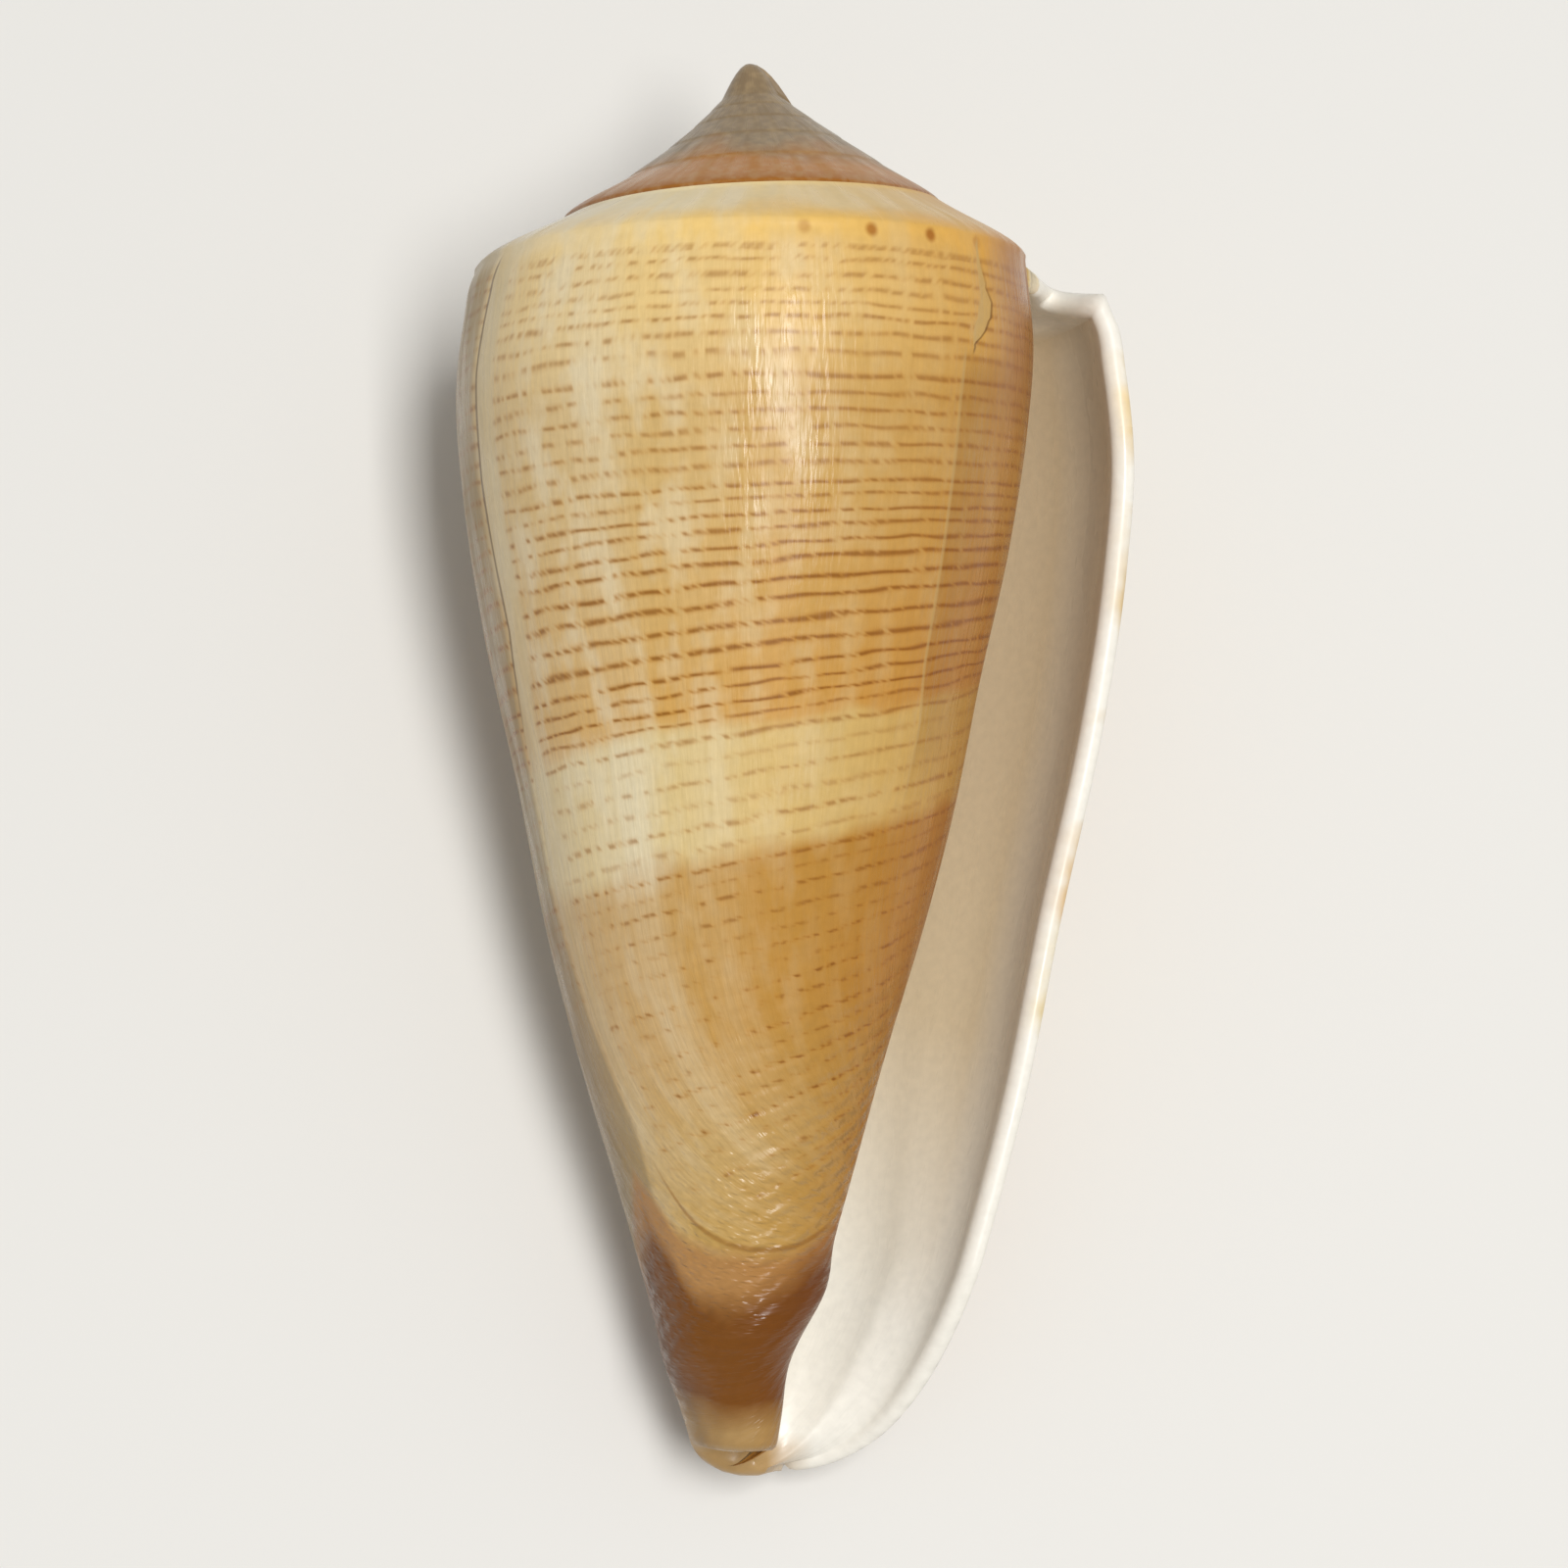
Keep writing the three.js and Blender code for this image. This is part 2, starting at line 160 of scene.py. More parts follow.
# The rows' spacing, in mm, how crowded the dashes are, and how strong, by row place or by turn.
ROW_SPACING = [(9.4, 0.55), (14, 0.7), (22, 0.72), (30, 0.87), (36, 0.76), (50.2, 0.82)]
CROWDED_BY_TURN = [
    (-1, 0.32), (-0.87, 0.3), (-0.78, 0.2), (-0.7, 0.05), (-0.58, 0), (0, 0.08),
]
CROWDED_BY_ROW = [
    (9.4, 0), (22, 0.1), (28.5, 0.12), (30, 0), (34, -0.03), (37, -0.16),
    (44, -0.2), (50.2, -0.3),
]
DASHES_BY_ROW = [(9.4, 1), (33.5, 1), (36, 1.7), (50.2, 1.9)]
DASHES_BY_TURN = [(-1, 0.42), (-0.9, 0.52), (-0.8, 0.7), (-0.6, 0.74), (0, 0.74)]

# The large milky streaks, the small pale patches and the old lip's strip: how strong they are.
STREAKS_BY_TURN = [
    (-1, 0), (-0.745, 0), (-0.725, 0.25), (-0.705, 0.4), (-0.69, 0.15), (-0.677, 0.3),
    (-0.665, 0.85), (-0.65, 1), (-0.638, 0.6), (-0.61, 0.35), (-0.59, 0.5), (-0.56, 0.6),
    (-0.53, 0.1), (0, 0),
]
STREAKS_BY_ROW = [
    (7, 0.5), (8.5, 0.35), (12, 0.45), (20, 0.32), (27.5, 0.18), (28.6, 0.75), (33, 0.8),
    (34.5, 0.36), (42, 0.36), (46, 0.25), (48, 0),
]
PALE_BY_TURN = [(-1, 0.12), (-0.82, 0.3), (-0.7, 0.5), (-0.58, 0.6), (0, 0.4)]
PALE_BY_ROW = [(0, 1), (28, 0.8), (33, 0.7), (34.5, 0.35), (60, 0.3)]
STRIP_BY_ROW = [(8, 0.7), (28, 0.5), (33, 0.25), (46, 0.15)]

# How far below the base line the rosy and the brown base begin at each turn, in mm, how the cream
# tip's edge climbs in a turn, and how strong the threads are down the side.
ROSY_FROM = [
    (-1, 0), (-0.7, 0), (-0.65, 0.6), (-0.61, 2), (-0.55, 5), (-0.5, 7), (0, 7.6),
]
BROWN_FROM = [
    (-1, 1.6), (-0.84, 0.8), (-0.75, 1.4), (-0.7, 1.9), (-0.65, 2.6), (-0.61, 4.2),
    (-0.55, 6.8), (-0.5, 8.4), (0, 9),
]
TIP_CLIMB = 17.3
THREADS_BY_ROW = [
    (8, 0.02), (38, 0.04), (43, 0.5), (48, 1), (51, 0.8), (53, 0.3), (56, 0.2),
]

# The spots on the shoulder: the turn of one, half the step to the next, in turns, and their row.
SPOT_TURN, HALF_STEP, SPOT_ROW = -0.7706, 0.0193, 8.62

# The ground's colour bands by row place, the spire's by height in mm, and how the side's colour
# deepens to amber toward the aperture, as linear shares of red, green and blue. The deepening is
# partly the side's own amber and partly painted shade where the side turns from the light, and
# the dip near turn -0.53 is painted shade along the side's left edge.
BANDS = [
    (3, "ramp"), (7.4, "ramp"), (8, "shoulder"), (8.8, "shoulder"), (9.5, "light"),
    (11.5, "light"), (15, "tan"), (19, "tan"), (25, "deep_tan"), (28.1, "gold"),
    (28.7, "pale"), (32.9, "pale"), (33.7, "honey"), (40, "honey"), (45, "straw"),
    (60, "straw"),
]
SPIRE_BANDS = [(20.5, "rust"), (21.9, "rust"), (23.1, "spire"), (28, "spire")]
SIDE_TINT_AND_SHADE = [
    (-1, (0.66, 0.4, 0.12)), (-0.94, (0.67, 0.42, 0.14)), (-0.88, (0.71, 0.53, 0.27)),
    (-0.8, (0.78, 0.67, 0.47)), (-0.74, (0.85, 0.77, 0.6)), (-0.68, (0.91, 0.87, 0.75)),
    (-0.62, (0.95, 0.92, 0.84)), (-0.56, (0.82, 0.77, 0.68)), (-0.53, (0.66, 0.62, 0.55)),
    (-0.49, (0.8, 0.76, 0.68)), (-0.44, (0.92, 0.89, 0.8)), (0, (0.95, 0.92, 0.84)),
]

# Where the camera stands and aims, in mm in the shell's own axes, and half the photo's width over
# its focal length, both in pixels.
EYE, AIM = (0.652, -30.22, 138.16), (0.652, -28.29, 0)
HALF_VIEW = 800 / 3600
SENSOR_WIDTH_MM = 36
CLIP_NEAR, CLIP_FAR = 0.01, 10
FLOOR_REACH = 2


def smooth(start, end, x):
    """A soft step from 0 at start to 1 at end."""
    s = np.clip((x - start) / (end - start), 0, 1)
    return s * s * (3 - 2 * s)


def bump(x, width):
    """A rounded rise of 1 at 0."""
    return np.exp(-((x / width) ** 2))


def lerp(a, b, share):
    """The value at a share of the way from a to b."""
    return a + (b - a) * share


def scar_relief(column, row):
    """How far the scars raise or sink the surface of a column, in mm."""
    def scar_turn(scar):
        return np.interp(row, *zip(*scar))

    past_lip = ROUND_SIDE * (column - scar_turn(OLD_LIP))
    step_back = smooth(0, -1.3, past_lip) * smooth(-2.4, -1.3, past_lip)
    lip_scar = -0.05 * bump(past_lip + 0.1, 0.28) - 0.02 * step_back
    upper = smooth(8, 9.5, row) * smooth(45, 41, row)
    base_line = 0.04 * bump(row - np.interp(column, *zip(*BASE_LINE)), 0.3)
    lower = smooth(-0.585, -0.61, column) * smooth(-0.9, -0.85, column)
    within = (column < scar_turn(CHIP_LEFT)) & (column > scar_turn(CHIP_RIGHT))
    chip = -0.08 * within * (row > 8.6) * (row < 13)
    past_crack = ROUND_SIDE * (column - scar_turn(CRACK))
    crack = -0.04 * bump(past_crack, 0.3) * smooth(11.5, 13, row) * smooth(34, 32, row)
    return (lip_scar * upper + base_line * lower + chip + crack) * (column > -0.99)


def outline_slopes():
    """The slope of a smooth line through the outline at each of its points."""
    step = np.diff(SIDE_OUTLINE[:, 0])
    slope = np.diff(SIDE_OUTLINE[:, 1]) / step
    middle = (slope[:-1] * step[1:] + slope[1:] * step[:-1]) / (step[:-1] + step[1:])
    return np.concatenate([slope[:1], middle, slope[-1:]])


OUTLINE_SLOPES = outline_slopes()


def outline_radius(drop):
    """Radius at a drop, on a smooth line through the outline's points."""
    drops, radii = SIDE_OUTLINE.T
    i = np.clip(np.searchsorted(drops, drop, side="right") - 1, 0, len(drops) - 2)
    step = drops[i + 1] - drops[i]
    s = np.clip((drop - drops[i]) / step, 0, 1)
    curve = (
        (2 * s**3 - 3 * s**2 + 1) * radii[i]
        + (s**3 - 2 * s**2 + s) * step * OUTLINE_SLOPES[i]
        + (3 * s**2 - 2 * s**3) * radii[i + 1]
        + (s**3 - s**2) * step * OUTLINE_SLOPES[i + 1]
    )
    return curve + np.minimum(drop - drops[0], 0) * OUTLINE_SLOPES[0]


def hex_colour(code):
    """A screen colour such as "#dcb878" as linear red, green and blue."""
    parts = [int(code[i:i + 2], 16) / 255 for i in (1, 3, 5)]
    return tuple(p / 12.92 if p <= 0.04045 else ((p + 0.055) / 1.055) ** 2.4 for p in parts)


def number(name, description, default, **fields):
    return bpy.props.FloatProperty(
        name=name, description=description, default=default, **fields
    )


def length(name, description, millimetres):
    return number(name, description, millimetres * MM, unit="LENGTH", precision=5)


def angle(name, description, degrees):
    return number(name, description, math.radians(degrees), subtype="ANGLE")


def colour(name, description, code):
    return bpy.props.FloatVectorProperty(
        name=name, description=description, default=hex_colour(code), subtype="COLOR", size=3,
        min=0, max=1,
    )


class ShellSizes(bpy.types.PropertyGroup):
    """Sizes of the grown shell. A drop is a distance along the axis from the apex."""

    base_drop: length("Base", "Drop of the lower edge of the whorl", 55.4)
    columella_drop: length("Columella end", "Drop of the columella's tip", 54.9)
    rim_drop: length("Columella rim", "Drop where the columella's tip begins", 53.9)
    shoulder_radius: length("Shoulder radius", "Radius of the shoulder half a turn back", 11.5)
    shoulder_drop: length("Shoulder drop", "Drop of the shoulder half a turn back", 8.5)
    lip_thickness: length("Lip thickness", "Thickness of the wall at the outer lip", 0.92)
    back_wall: length("Back wall", "Thickness of the wall behind the aperture", 2)
    deep_wall: length("Deep wall", "Thickness of the wall deep inside", 1.25)
    body_growth: number("Body growth", "How much the last whorl grows in a turn", 1.39)
    spire_growth: number("Spire growth", "How much the early whorls grow in a turn", 1.45)
    spire_slope: number("Spire slope", "Power that links the spire's drop to its size", 0.79)
    lip_bend_drop: length("Lip bend", "Drop where the lip starts to sweep round the base", 47.2)
    ridge_drop: length("Foot ridge", "Drop of the low ridge round the columella's foot", 47.4)
    ridge_height: length("Foot ridge height", "Height of that ridge", 0.28)
    groove_depth: length("Foot groove depth", "Depth of the groove below that ridge", 0.36)
    apex_lean: length("Apex lean", "How far the early whorls lean to the left", 0.7)
    worn_depth: length("Worn flat", "How much is worn off its back, where it lies", 0.2)
    rest_roll: angle("Rest roll", "How far it is rolled to the left as it lies", -8)
    rest_pitch: angle("Rest pitch", "How far its base is lowered as it lies", 9.7)


class ShellForm:
    """The shell's skin as columns of points, in millimetres, with the apex at the origin."""

    def __init__(self, sizes):
        in_mm = ("base_drop columella_drop rim_drop shoulder_radius shoulder_drop "
                 "lip_thickness back_wall deep_wall lip_bend_drop ridge_drop ridge_height "
                 "groove_depth apex_lean").split()
        for name in in_mm:
            setattr(self, name, getattr(sizes, name) / MM)
        self.body_growth = sizes.body_growth
        self.spire_growth = sizes.spire_growth
        self.spire_slope = sizes.spire_slope

    def growth(self, turn):
        """Size at a turn, as a ratio of the size where the outline was measured."""
        body = self.body_growth ** (turn - MEASURED_TURN)
        spire = self.body_growth ** (-1 - MEASURED_TURN) * self.spire_growth ** (turn + 1)
        return np.where(turn > -1, body, spire)

    def shoulder(self, turn):
        """Radius and drop of the shoulder's edge, where the next whorl joins."""
        size = self.growth(turn)
        fall = smooth(-1.45, -1.02, turn) * (1 - smooth(-1, -0.6, turn))
        rise = smooth(-0.5, 0, turn)
        radius = self.shoulder_radius * size + 0.3 * fall - 0.23 * rise
        drop = self.shoulder_drop * size**self.spire_slope + 0.45 * fall - 0.38 * rise
        return radius, drop

    def side_radius(self, turn, drop):
        """Radius of the whorl's side below its shoulder, with the ridge and groove at its foot."""
        size = self.growth(turn)
        edge_radius, edge_drop = self.shoulder(turn)
        below = np.maximum(drop - edge_drop, 0)
        miss = edge_radius - size * outline_radius(edge_drop / size)
        fitted = size * outline_radius(drop / size) + miss * np.exp(-below / EDGE_BLEND)
        crest = self.ridge_drop + RIDGE_FALL * (turn + 1)
        reach = smooth(-1.2, -1, turn) * (1 - smooth(-0.6, -0.4, turn))
        ridge = self.ridge_height * bump(drop - crest, RIDGE_WIDTH)
        groove = self.groove_depth * bump(drop - crest - GROOVE_BELOW, GROOVE_WIDTH)
        return np.maximum(fitted + (ridge - groove) * reach, SMALLEST_RADIUS)

    def wall(self, turn):
        """Wall thickness: thin at the lip, thick behind the aperture, thinner deep inside."""
        thick = (self.back_wall - self.lip_thickness) * smooth(0, -0.12, turn)
        thin = (self.back_wall - self.deep_wall) * smooth(-0.25, -0.5, turn)
        return self.lip_thickness + thick - thin

    def place(self, turn, radius, drop):
        """Points at turns, radii and drops. The early whorls lean to the left."""
        round_axis = 2 * math.pi * turn
        lean = -self.apex_lean * bump(drop, 2.9)
        turn, radius, drop = np.broadcast_arrays(turn, radius, drop)
        across, up = lean + radius * np.cos(round_axis), radius * np.sin(round_axis)
        return np.stack([across, -drop, up], -1)

    def covered_drop(self, turn):
        """The drop at which a wall hides the whorl below it."""
        return self.shoulder(turn)[1] + 1.1 * self.wall(np.minimum(turn + 1, 0))

    def lip_bend(self, share):
        """How far back and down the lip's edge has swept at a share of the way down the side."""
        s = np.clip((share - BEND_START) / BEND_REACH, 0, 1)
        return 2 * s * (1 - s) * BEND_PULL + s * s * BEND_BACK, 1 - (1 - s) ** 2

    def side_place(self, turn, share):
        """Turn and drop of points of the side, at shares of the way from shoulder to base."""
        near = smooth(-LIP_BLEND_TURN, 0, turn)
        back, down = self.lip_bend(share)
        top = self.shoulder(turn)[1]
        bent_turn = turn - back * near
        raised = self.base_drop - self.rim_drop
        rim = self.base_drop - raised * smooth(-0.3, -0.5, bent_turn)
        plain = top + (rim - top) * share
        straight = top + (self.lip_bend_drop - top) * np.minimum(share / BEND_START, 1)
        bent = straight + (self.base_drop - self.lip_bend_drop) * down
        return bent_turn, lerp(plain, bent, near)

    def notch(self, turn, share):
        """How far back the lip is notched at a share of the way across the ramp, in turns."""
        return LIP_NOTCH * np.sin(math.pi * share) * smooth(-LIP_BLEND_TURN, 0, turn) ** 4

    def ramp(self, turn):
        """Points across the ramp, from the suture to the shoulder."""
        s = ramp_shares()
        suture_radius, suture_drop = self.shoulder(turn - 1)
        edge_radius, edge_drop = self.shoulder(turn)
        across, down = edge_radius - suture_radius, edge_drop - suture_drop
        swell = lerp(RAMP_SWELL_EARLY, RAMP_SWELL, smooth(-2.3, -1.2, turn))
        swell = swell * s**1.8 * (1 - s) ** 0.4
        radius = suture_radius + across * s + down * swell
        drop = suture_drop + down * s - across * swell
        return self.marked(turn, turn - self.notch(turn, s), radius, drop, 0)

    def marked(self, column, turn, radius, drop, inside):
        """Points with their marks: column's turn, row place, way along, side and growth line."""
        turn, radius, drop = np.broadcast_arrays(turn, radius, drop)
        row = self.row_place(turn, drop)
        swept = (np.maximum(row - SWEEP_ROW, 0) / SWEEP_LENGTH) ** 3.2
        marks = np.stack([
            np.full(turn.shape, float(column)),
            row,
            2 * math.pi * turn * radius,
            np.broadcast_to(inside, turn.shape),
            column + SWEEP * swept * smooth(0, -LIP_BLEND_TURN, column),
        ], -1)
        if not inside:
            radius = radius + scar_relief(column, row)
        return np.concatenate([self.place(turn, radius, drop), marks], -1)

    def row_place(self, turn, drop):
        """Where a point lies among the spiral rows: they follow the shoulder, then the growth."""
        below = drop - self.shoulder(turn)[1]
        grown = drop / self.growth(turn)
        return lerp(below + self.shoulder_drop, grown, smooth(0, 16, below))

    def side_shares(self, turn):
        """Shares down the side. A few lie above the drop where the next whorl's wall meets it."""
        top = self.shoulder(turn)[1]
        near = smooth(-LIP_BLEND_TURN, 0, turn)
        straight = (self.lip_bend_drop - top) / BEND_START
        reach = lerp(self.rim_drop - top, straight, near)
        return side_shares((self.covered_drop(turn) - top) / reach)

    def outer_column(self, turn):
        """The outside of one column: across the ramp, then down the side to the base."""
        at, drop = self.side_place(turn, self.side_shares(turn))
        side = self.marked(turn, at, self.side_radius(at, drop), drop, 0)
        return np.concatenate([self.ramp(turn), side[1:]])

    def hollow_end(self, share):
        """The turn at which the hollow ends, deep inside above and near the lip at the base."""
        return lerp(HOLLOW_TURN, HOLLOW_BASE_TURN, smooth(0.62, 1, share))

    def floor_column(self, turn):
        """The floor of the hollow, which is the side of the whorl before."""
        covered = self.covered_drop(turn)
        top = self.shoulder(turn)[1]
        share = side_shares((covered - top) / (self.rim_drop - top))[HIDDEN_ROWS:]
        at = -1 + (turn + 1) * self.hollow_end(share) / HOLLOW_TURN
        start = self.shoulder(at)[1]
        drop = start + (self.rim_drop - start) * share
        at[0], drop[0] = turn, covered
        side = self.marked(turn, at, self.side_radius(at, drop), drop, 1)
        return np.concatenate([np.repeat(side[:1], RAMP_ROWS + HIDDEN_ROWS, 0), side])

    def inner_column(self, turn):
        """The inner face of the wall, from the floor under the ramp round and down."""
        top_drop = self.covered_drop(turn - 1)
        top_radius = self.side_radius(turn - 1, top_drop)
        thickness = self.wall(turn)
        closing = CLOSED_SHARE * smooth(HOLLOW_TURN + CLOSING_TURNS, HOLLOW_TURN, turn)
        edge_radius, edge_drop = self.shoulder(turn)
        corner_radius = edge_radius - thickness
        corner_drop = edge_drop + CORNER_DROP * thickness
        s = np.arange(RAMP_ROWS) / RAMP_ROWS
        width = np.hypot(corner_radius - top_radius, corner_drop - top_drop)
        arch = CEILING_ARCH * np.sin(math.pi * s) * width
        radius = lerp(lerp(top_radius, corner_radius, s), top_radius, closing)
        drop = lerp(lerp(top_drop, corner_drop, s) - arch, top_drop, closing)
        ceiling = self.marked(turn, turn - self.notch(turn, s), radius, drop, 1)

        share = self.side_shares(turn)
        at = lerp(-self.lip_bend(share)[0], self.hollow_end(share), turn / HOLLOW_TURN)
        start = self.shoulder(at)[1] + CORNER_DROP * thickness
        drop = np.maximum(self.side_place(turn, share)[1], start + 1.5 * share)
        drop[0] = start[0]
        floor = self.side_radius(at - 1, drop)
        radius = np.maximum(self.side_radius(at, drop) - thickness, floor + SMALLEST_GAP)
        side = self.marked(turn, at, lerp(radius, floor, closing), drop, 1)
        return np.concatenate([ceiling, side])

    def bead(self, start, end, swellings):
        """Rounded edge between two matching rows of points, swelling along given directions."""
        gap = np.linalg.norm(end[:, :3] - start[:, :3], axis=1, keepdims=True)
        height = np.minimum(BEAD_HEIGHT * gap, BEAD_HEIGHT * self.lip_thickness)
        rows = []
        for step in range(1, BEAD_STEPS):
            share = (1 - math.cos(math.pi * step / BEAD_STEPS)) / 2
            row = lerp(start, end, share)
            row[:, :3] += swellings * height * math.sin(math.pi * step / BEAD_STEPS)
            row[:, 3:6] = start[:, 3:6]
            row[:, 7] = start[:, 7]
            rows.append(row)
        return rows


def ramp_shares():
    """Rows crowd toward the shoulder."""
    return 1 - (1 - np.arange(RAMP_ROWS + 1) / RAMP_ROWS) ** 1.6


def side_shares(covered):
    """Rows crowd toward the shoulder and the base, below a few above the covered share."""
    row = np.arange(1, SIDE_ROWS - HIDDEN_ROWS + 1) / (SIDE_ROWS - HIDDEN_ROWS)
    crowded = row - 0.06 * np.sin(2 * math.pi * row)
    hidden = np.arange(HIDDEN_ROWS + 1) / HIDDEN_ROWS
    return np.concatenate([covered * hidden, lerp(covered, 1, crowded)])


def lip_swellings(edge, before):
    """Directions in which the lip's edge swells: onward along the growth, square to the edge."""
    ends = np.concatenate([edge[:1], edge, edge[-1:]])
    along = ends[2:] - ends[:-2]
    along /= np.linalg.norm(along, axis=1, keepdims=True)
    onward = edge - before
    onward -= along * (onward * along).sum(1, keepdims=True)
    return onward / np.linalg.norm(onward, axis=1, keepdims=True)


def turns_between(start, end, steps):
    """Turns from start to end, with a number of steps to a whole turn."""
    count = round(abs(end - start) * steps)
    return np.linspace(start, end, count + 1)


class Skin:
    """Faces of the skin, kept as loose corners until they are welded."""

    def __init__(self):
        self.corners = []

    def weave(self, columns):
        """Skin between each column of points and the next."""
        grid = np.stack(columns)
        face = np.stack([grid[:-1, :-1], grid[1:, :-1], grid[1:, 1:], grid[:-1, 1:]], 2)
        self.corners.append(face.reshape(-1, 4, grid.shape[-1]))

    def cap(self, loop, top):
        """Domed cap over a closed loop of points."""
        ring = np.concatenate([loop, loop[:1]])
        rings = [ring]
        for step in range(1, CAP_RINGS + 1):
            inward = step / CAP_RINGS
            moved = ring.copy()
            moved[:, 6] = 0
            moved[:, :3] = lerp(ring[:, :3], np.array(top), inward)
            moved[:, 1] = lerp(ring[:, 1], top[1], math.sin(inward * math.pi / 2))
            rings.append(moved)
        self.weave(rings[::-1])

    def welded(self):
        """Vertices, faces and the marks of each face's corners."""
        corners = np.concatenate(self.corners)
        keys = np.round(corners[..., :3].reshape(-1, 3) / WELD).astype(np.int64)
        _, first, index = np.unique(keys, axis=0, return_index=True, return_inverse=True)
        points = corners[..., :3].reshape(-1, 3)[first]
        index = index.reshape(-1, 4)
        faces, marks = [], []
        for corner, mark in zip(index.tolist(), corners[..., 3:]):
            kept = [n for n in range(4) if corner[n] != corner[n - 1]]
            if len(kept) > 2 and len({corner[n] for n in kept}) == len(kept):
                faces.append([corner[n] for n in kept])
                marks.append(mark[kept])
        return points, faces, np.concatenate(marks)


def shell_skin(form):
    """The whole skin: spire, body whorl, lip, hollow, columella and apex, welded into one."""
    skin = Skin()
    front = turns_between(-1, BACK_TURN, SIDE_STEPS)
    back = turns_between(BACK_TURN, 0, BACK_STEPS)[1:]
    body = np.concatenate([front, back])
    hollow = body[body > HOLLOW_TURN - 1e-6]
    spire = [form.ramp(t - n) for n in range(EARLY_WHORLS, 0, -1) for t in body[:-1]]
    spire.append(form.ramp(-1))
    skin.weave(spire)

    outer = [form.outer_column(t) for t in body]
    inner = [form.inner_column(t) for t in hollow[::-1]]
    floor = [form.floor_column(t - 1) for t in hollow]
    seam = outer[0].copy()
    seam[:RAMP_ROWS + HIDDEN_ROWS] = seam[RAMP_ROWS + HIDDEN_ROWS]
    seam[:, 6] = 1
    floor[-1] = seam
    lip = outer[-1]
    lip_bead = form.bead(lip, inner[0], lip_swellings(lip[:, :3], outer[-2][:, :3]))
    for n, row in enumerate(lip_bead):
        row[0] = outer[0][RAMP_ROWS + n]
    skin.weave(outer)
    skin.weave([lip, *lip_bead, inner[0]])
    skin.weave([*inner, *floor])

    outer_foot = np.array([column[-1] for column in outer[len(body) - len(hollow):][::-1]])
    inner_foot = np.array([column[-1] for column in inner])
    foot_bead = form.bead(outer_foot, inner_foot, np.array([[0, -1, 0]]))
    for n, row in enumerate(foot_bead):
        row[0] = lip_bead[n][-1]
    skin.weave([outer_foot, *foot_bead, inner_foot])

    solid = len(body) - len(hollow) + 1
    columella = [column[-1] for column in outer[:solid]]
    columella += [row[-1] for row in foot_bead] + [inner_foot[-1]]
    columella += [column[-1] for column in floor[:-1]]
    across, up = COLUMELLA_TIP
    skin.cap(np.array(columella), (across, -form.columella_drop, up))

    first_whorl = [column[0] for column in spire[:len(body)]]
    apex = first_whorl + list(spire[0][1:RAMP_ROWS][::-1])
    skin.cap(np.array(apex[::-1]), (-form.apex_lean, 0, 0))
    return skin.welded()


def rest_turn(sizes):
    """The turn from the shell's own axes to the way it lies."""
    return Matrix.Rotation(sizes.rest_pitch, 3, "X") @ Matrix.Rotation(sizes.rest_roll, 3, "Y")


def laid_down(points, sizes):
    """Points turned to the way it lies and set where the solid is, in metres, and the shift."""
    turned = points @ np.array(rest_turn(sizes)).T * MM
    low, high = (np.array(corner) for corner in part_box("cone_shell"))
    middle = (turned.min(0) + turned.max(0)) / 2
    flat = turned[:, 2].min() + sizes.worn_depth
    turned[:, 2] = np.maximum(turned[:, 2], flat)
    shift = (low + high) / 2 - middle
    shift[2] = low[2] - flat
    return turned + shift, shift


def node(tree, kind, links=(), **settings):
    """Adds a node, sets its fields and its inputs' constants, and links its other inputs."""
    added = tree.nodes.new("ShaderNode" + kind)
    for name, value in settings.items():
        setattr(added, name, value)
    given = links.items() if isinstance(links, dict) else enumerate(links)
    for name, value in given:
        named = [s for s in added.inputs if s.enabled and s.name == name]
        socket = named[0] if named else added.inputs[name]
        if isinstance(value, bpy.types.Node):
            value = result(value)
        if isinstance(value, bpy.types.NodeSocket):
            tree.links.new(value, socket)
        elif socket.type == "RGBA":
            socket.default_value = (*value, 1)
        else:
            socket.default_value = value
    return added


def result(made):
    """The first of a node's outputs that is in use."""
    return next(socket for socket in made.outputs if socket.enabled)


def read_off(tree, value, points):
    """The height, at a value, of the line that joins points."""
    across, up = zip(*points)
    least, most = min(up), max(up)
    share = node(tree, "MapRange", [value, across[0], across[-1]])
    line = node(tree, "FloatCurve", {"Value": share})
    curve = line.mapping.curves[0]
    curve.points[0].location = 0, (up[0] - least) / (most - least)
    curve.points[1].location = 1, (up[-1] - least) / (most - least)
    for x, y in points[1:-1]:
        curve.points.new((x - across[0]) / (across[-1] - across[0]), (y - least) / (most - least))
    for point in curve.points:
        point.handle_type = "VECTOR"
    line.mapping.update()
    return node(tree, "MapRange", [line, 0, 1, least, most])


def colours_along(tree, value, stops):
    """The colour, at a value, between the stops' places."""
    places = [place for place, _ in stops]
    share = node(tree, "MapRange", [value, places[0], places[-1]])
    ramp = node(tree, "ValToRGB", [share])
    bands = ramp.color_ramp.elements
    bands[0].color = (*stops[0][1], 1)
    bands[1].color = (*stops[-1][1], 1)
    for place, paint in stops[1:-1]:
        bands.new((place - places[0]) / (places[-1] - places[0])).color = (*paint, 1)
    return ramp


def product(tree, *factors):
    """All the factors multiplied together."""
    total = factors[0]
    for factor in factors[1:]:
        total = node(tree, "Math", [total, factor], operation="MULTIPLY")
    return total


def band_over(tree, value, start, full, fading, end):
    """1 between full and fading, and softly down to 0 at start and at end."""
    rise = node(tree, "MapRange", [value, start, full], interpolation_type="SMOOTHSTEP")
    fall = node(tree, "MapRange", [value, end, fading], interpolation_type="SMOOTHSTEP")
    return product(tree, rise, fall)


def patch_over(tree, across, across_limits, down, down_limits):
    """1 where a band over one value meets a band over another."""
    band = band_over(tree, across, *across_limits)
    return product(tree, band, band_over(tree, down, *down_limits))


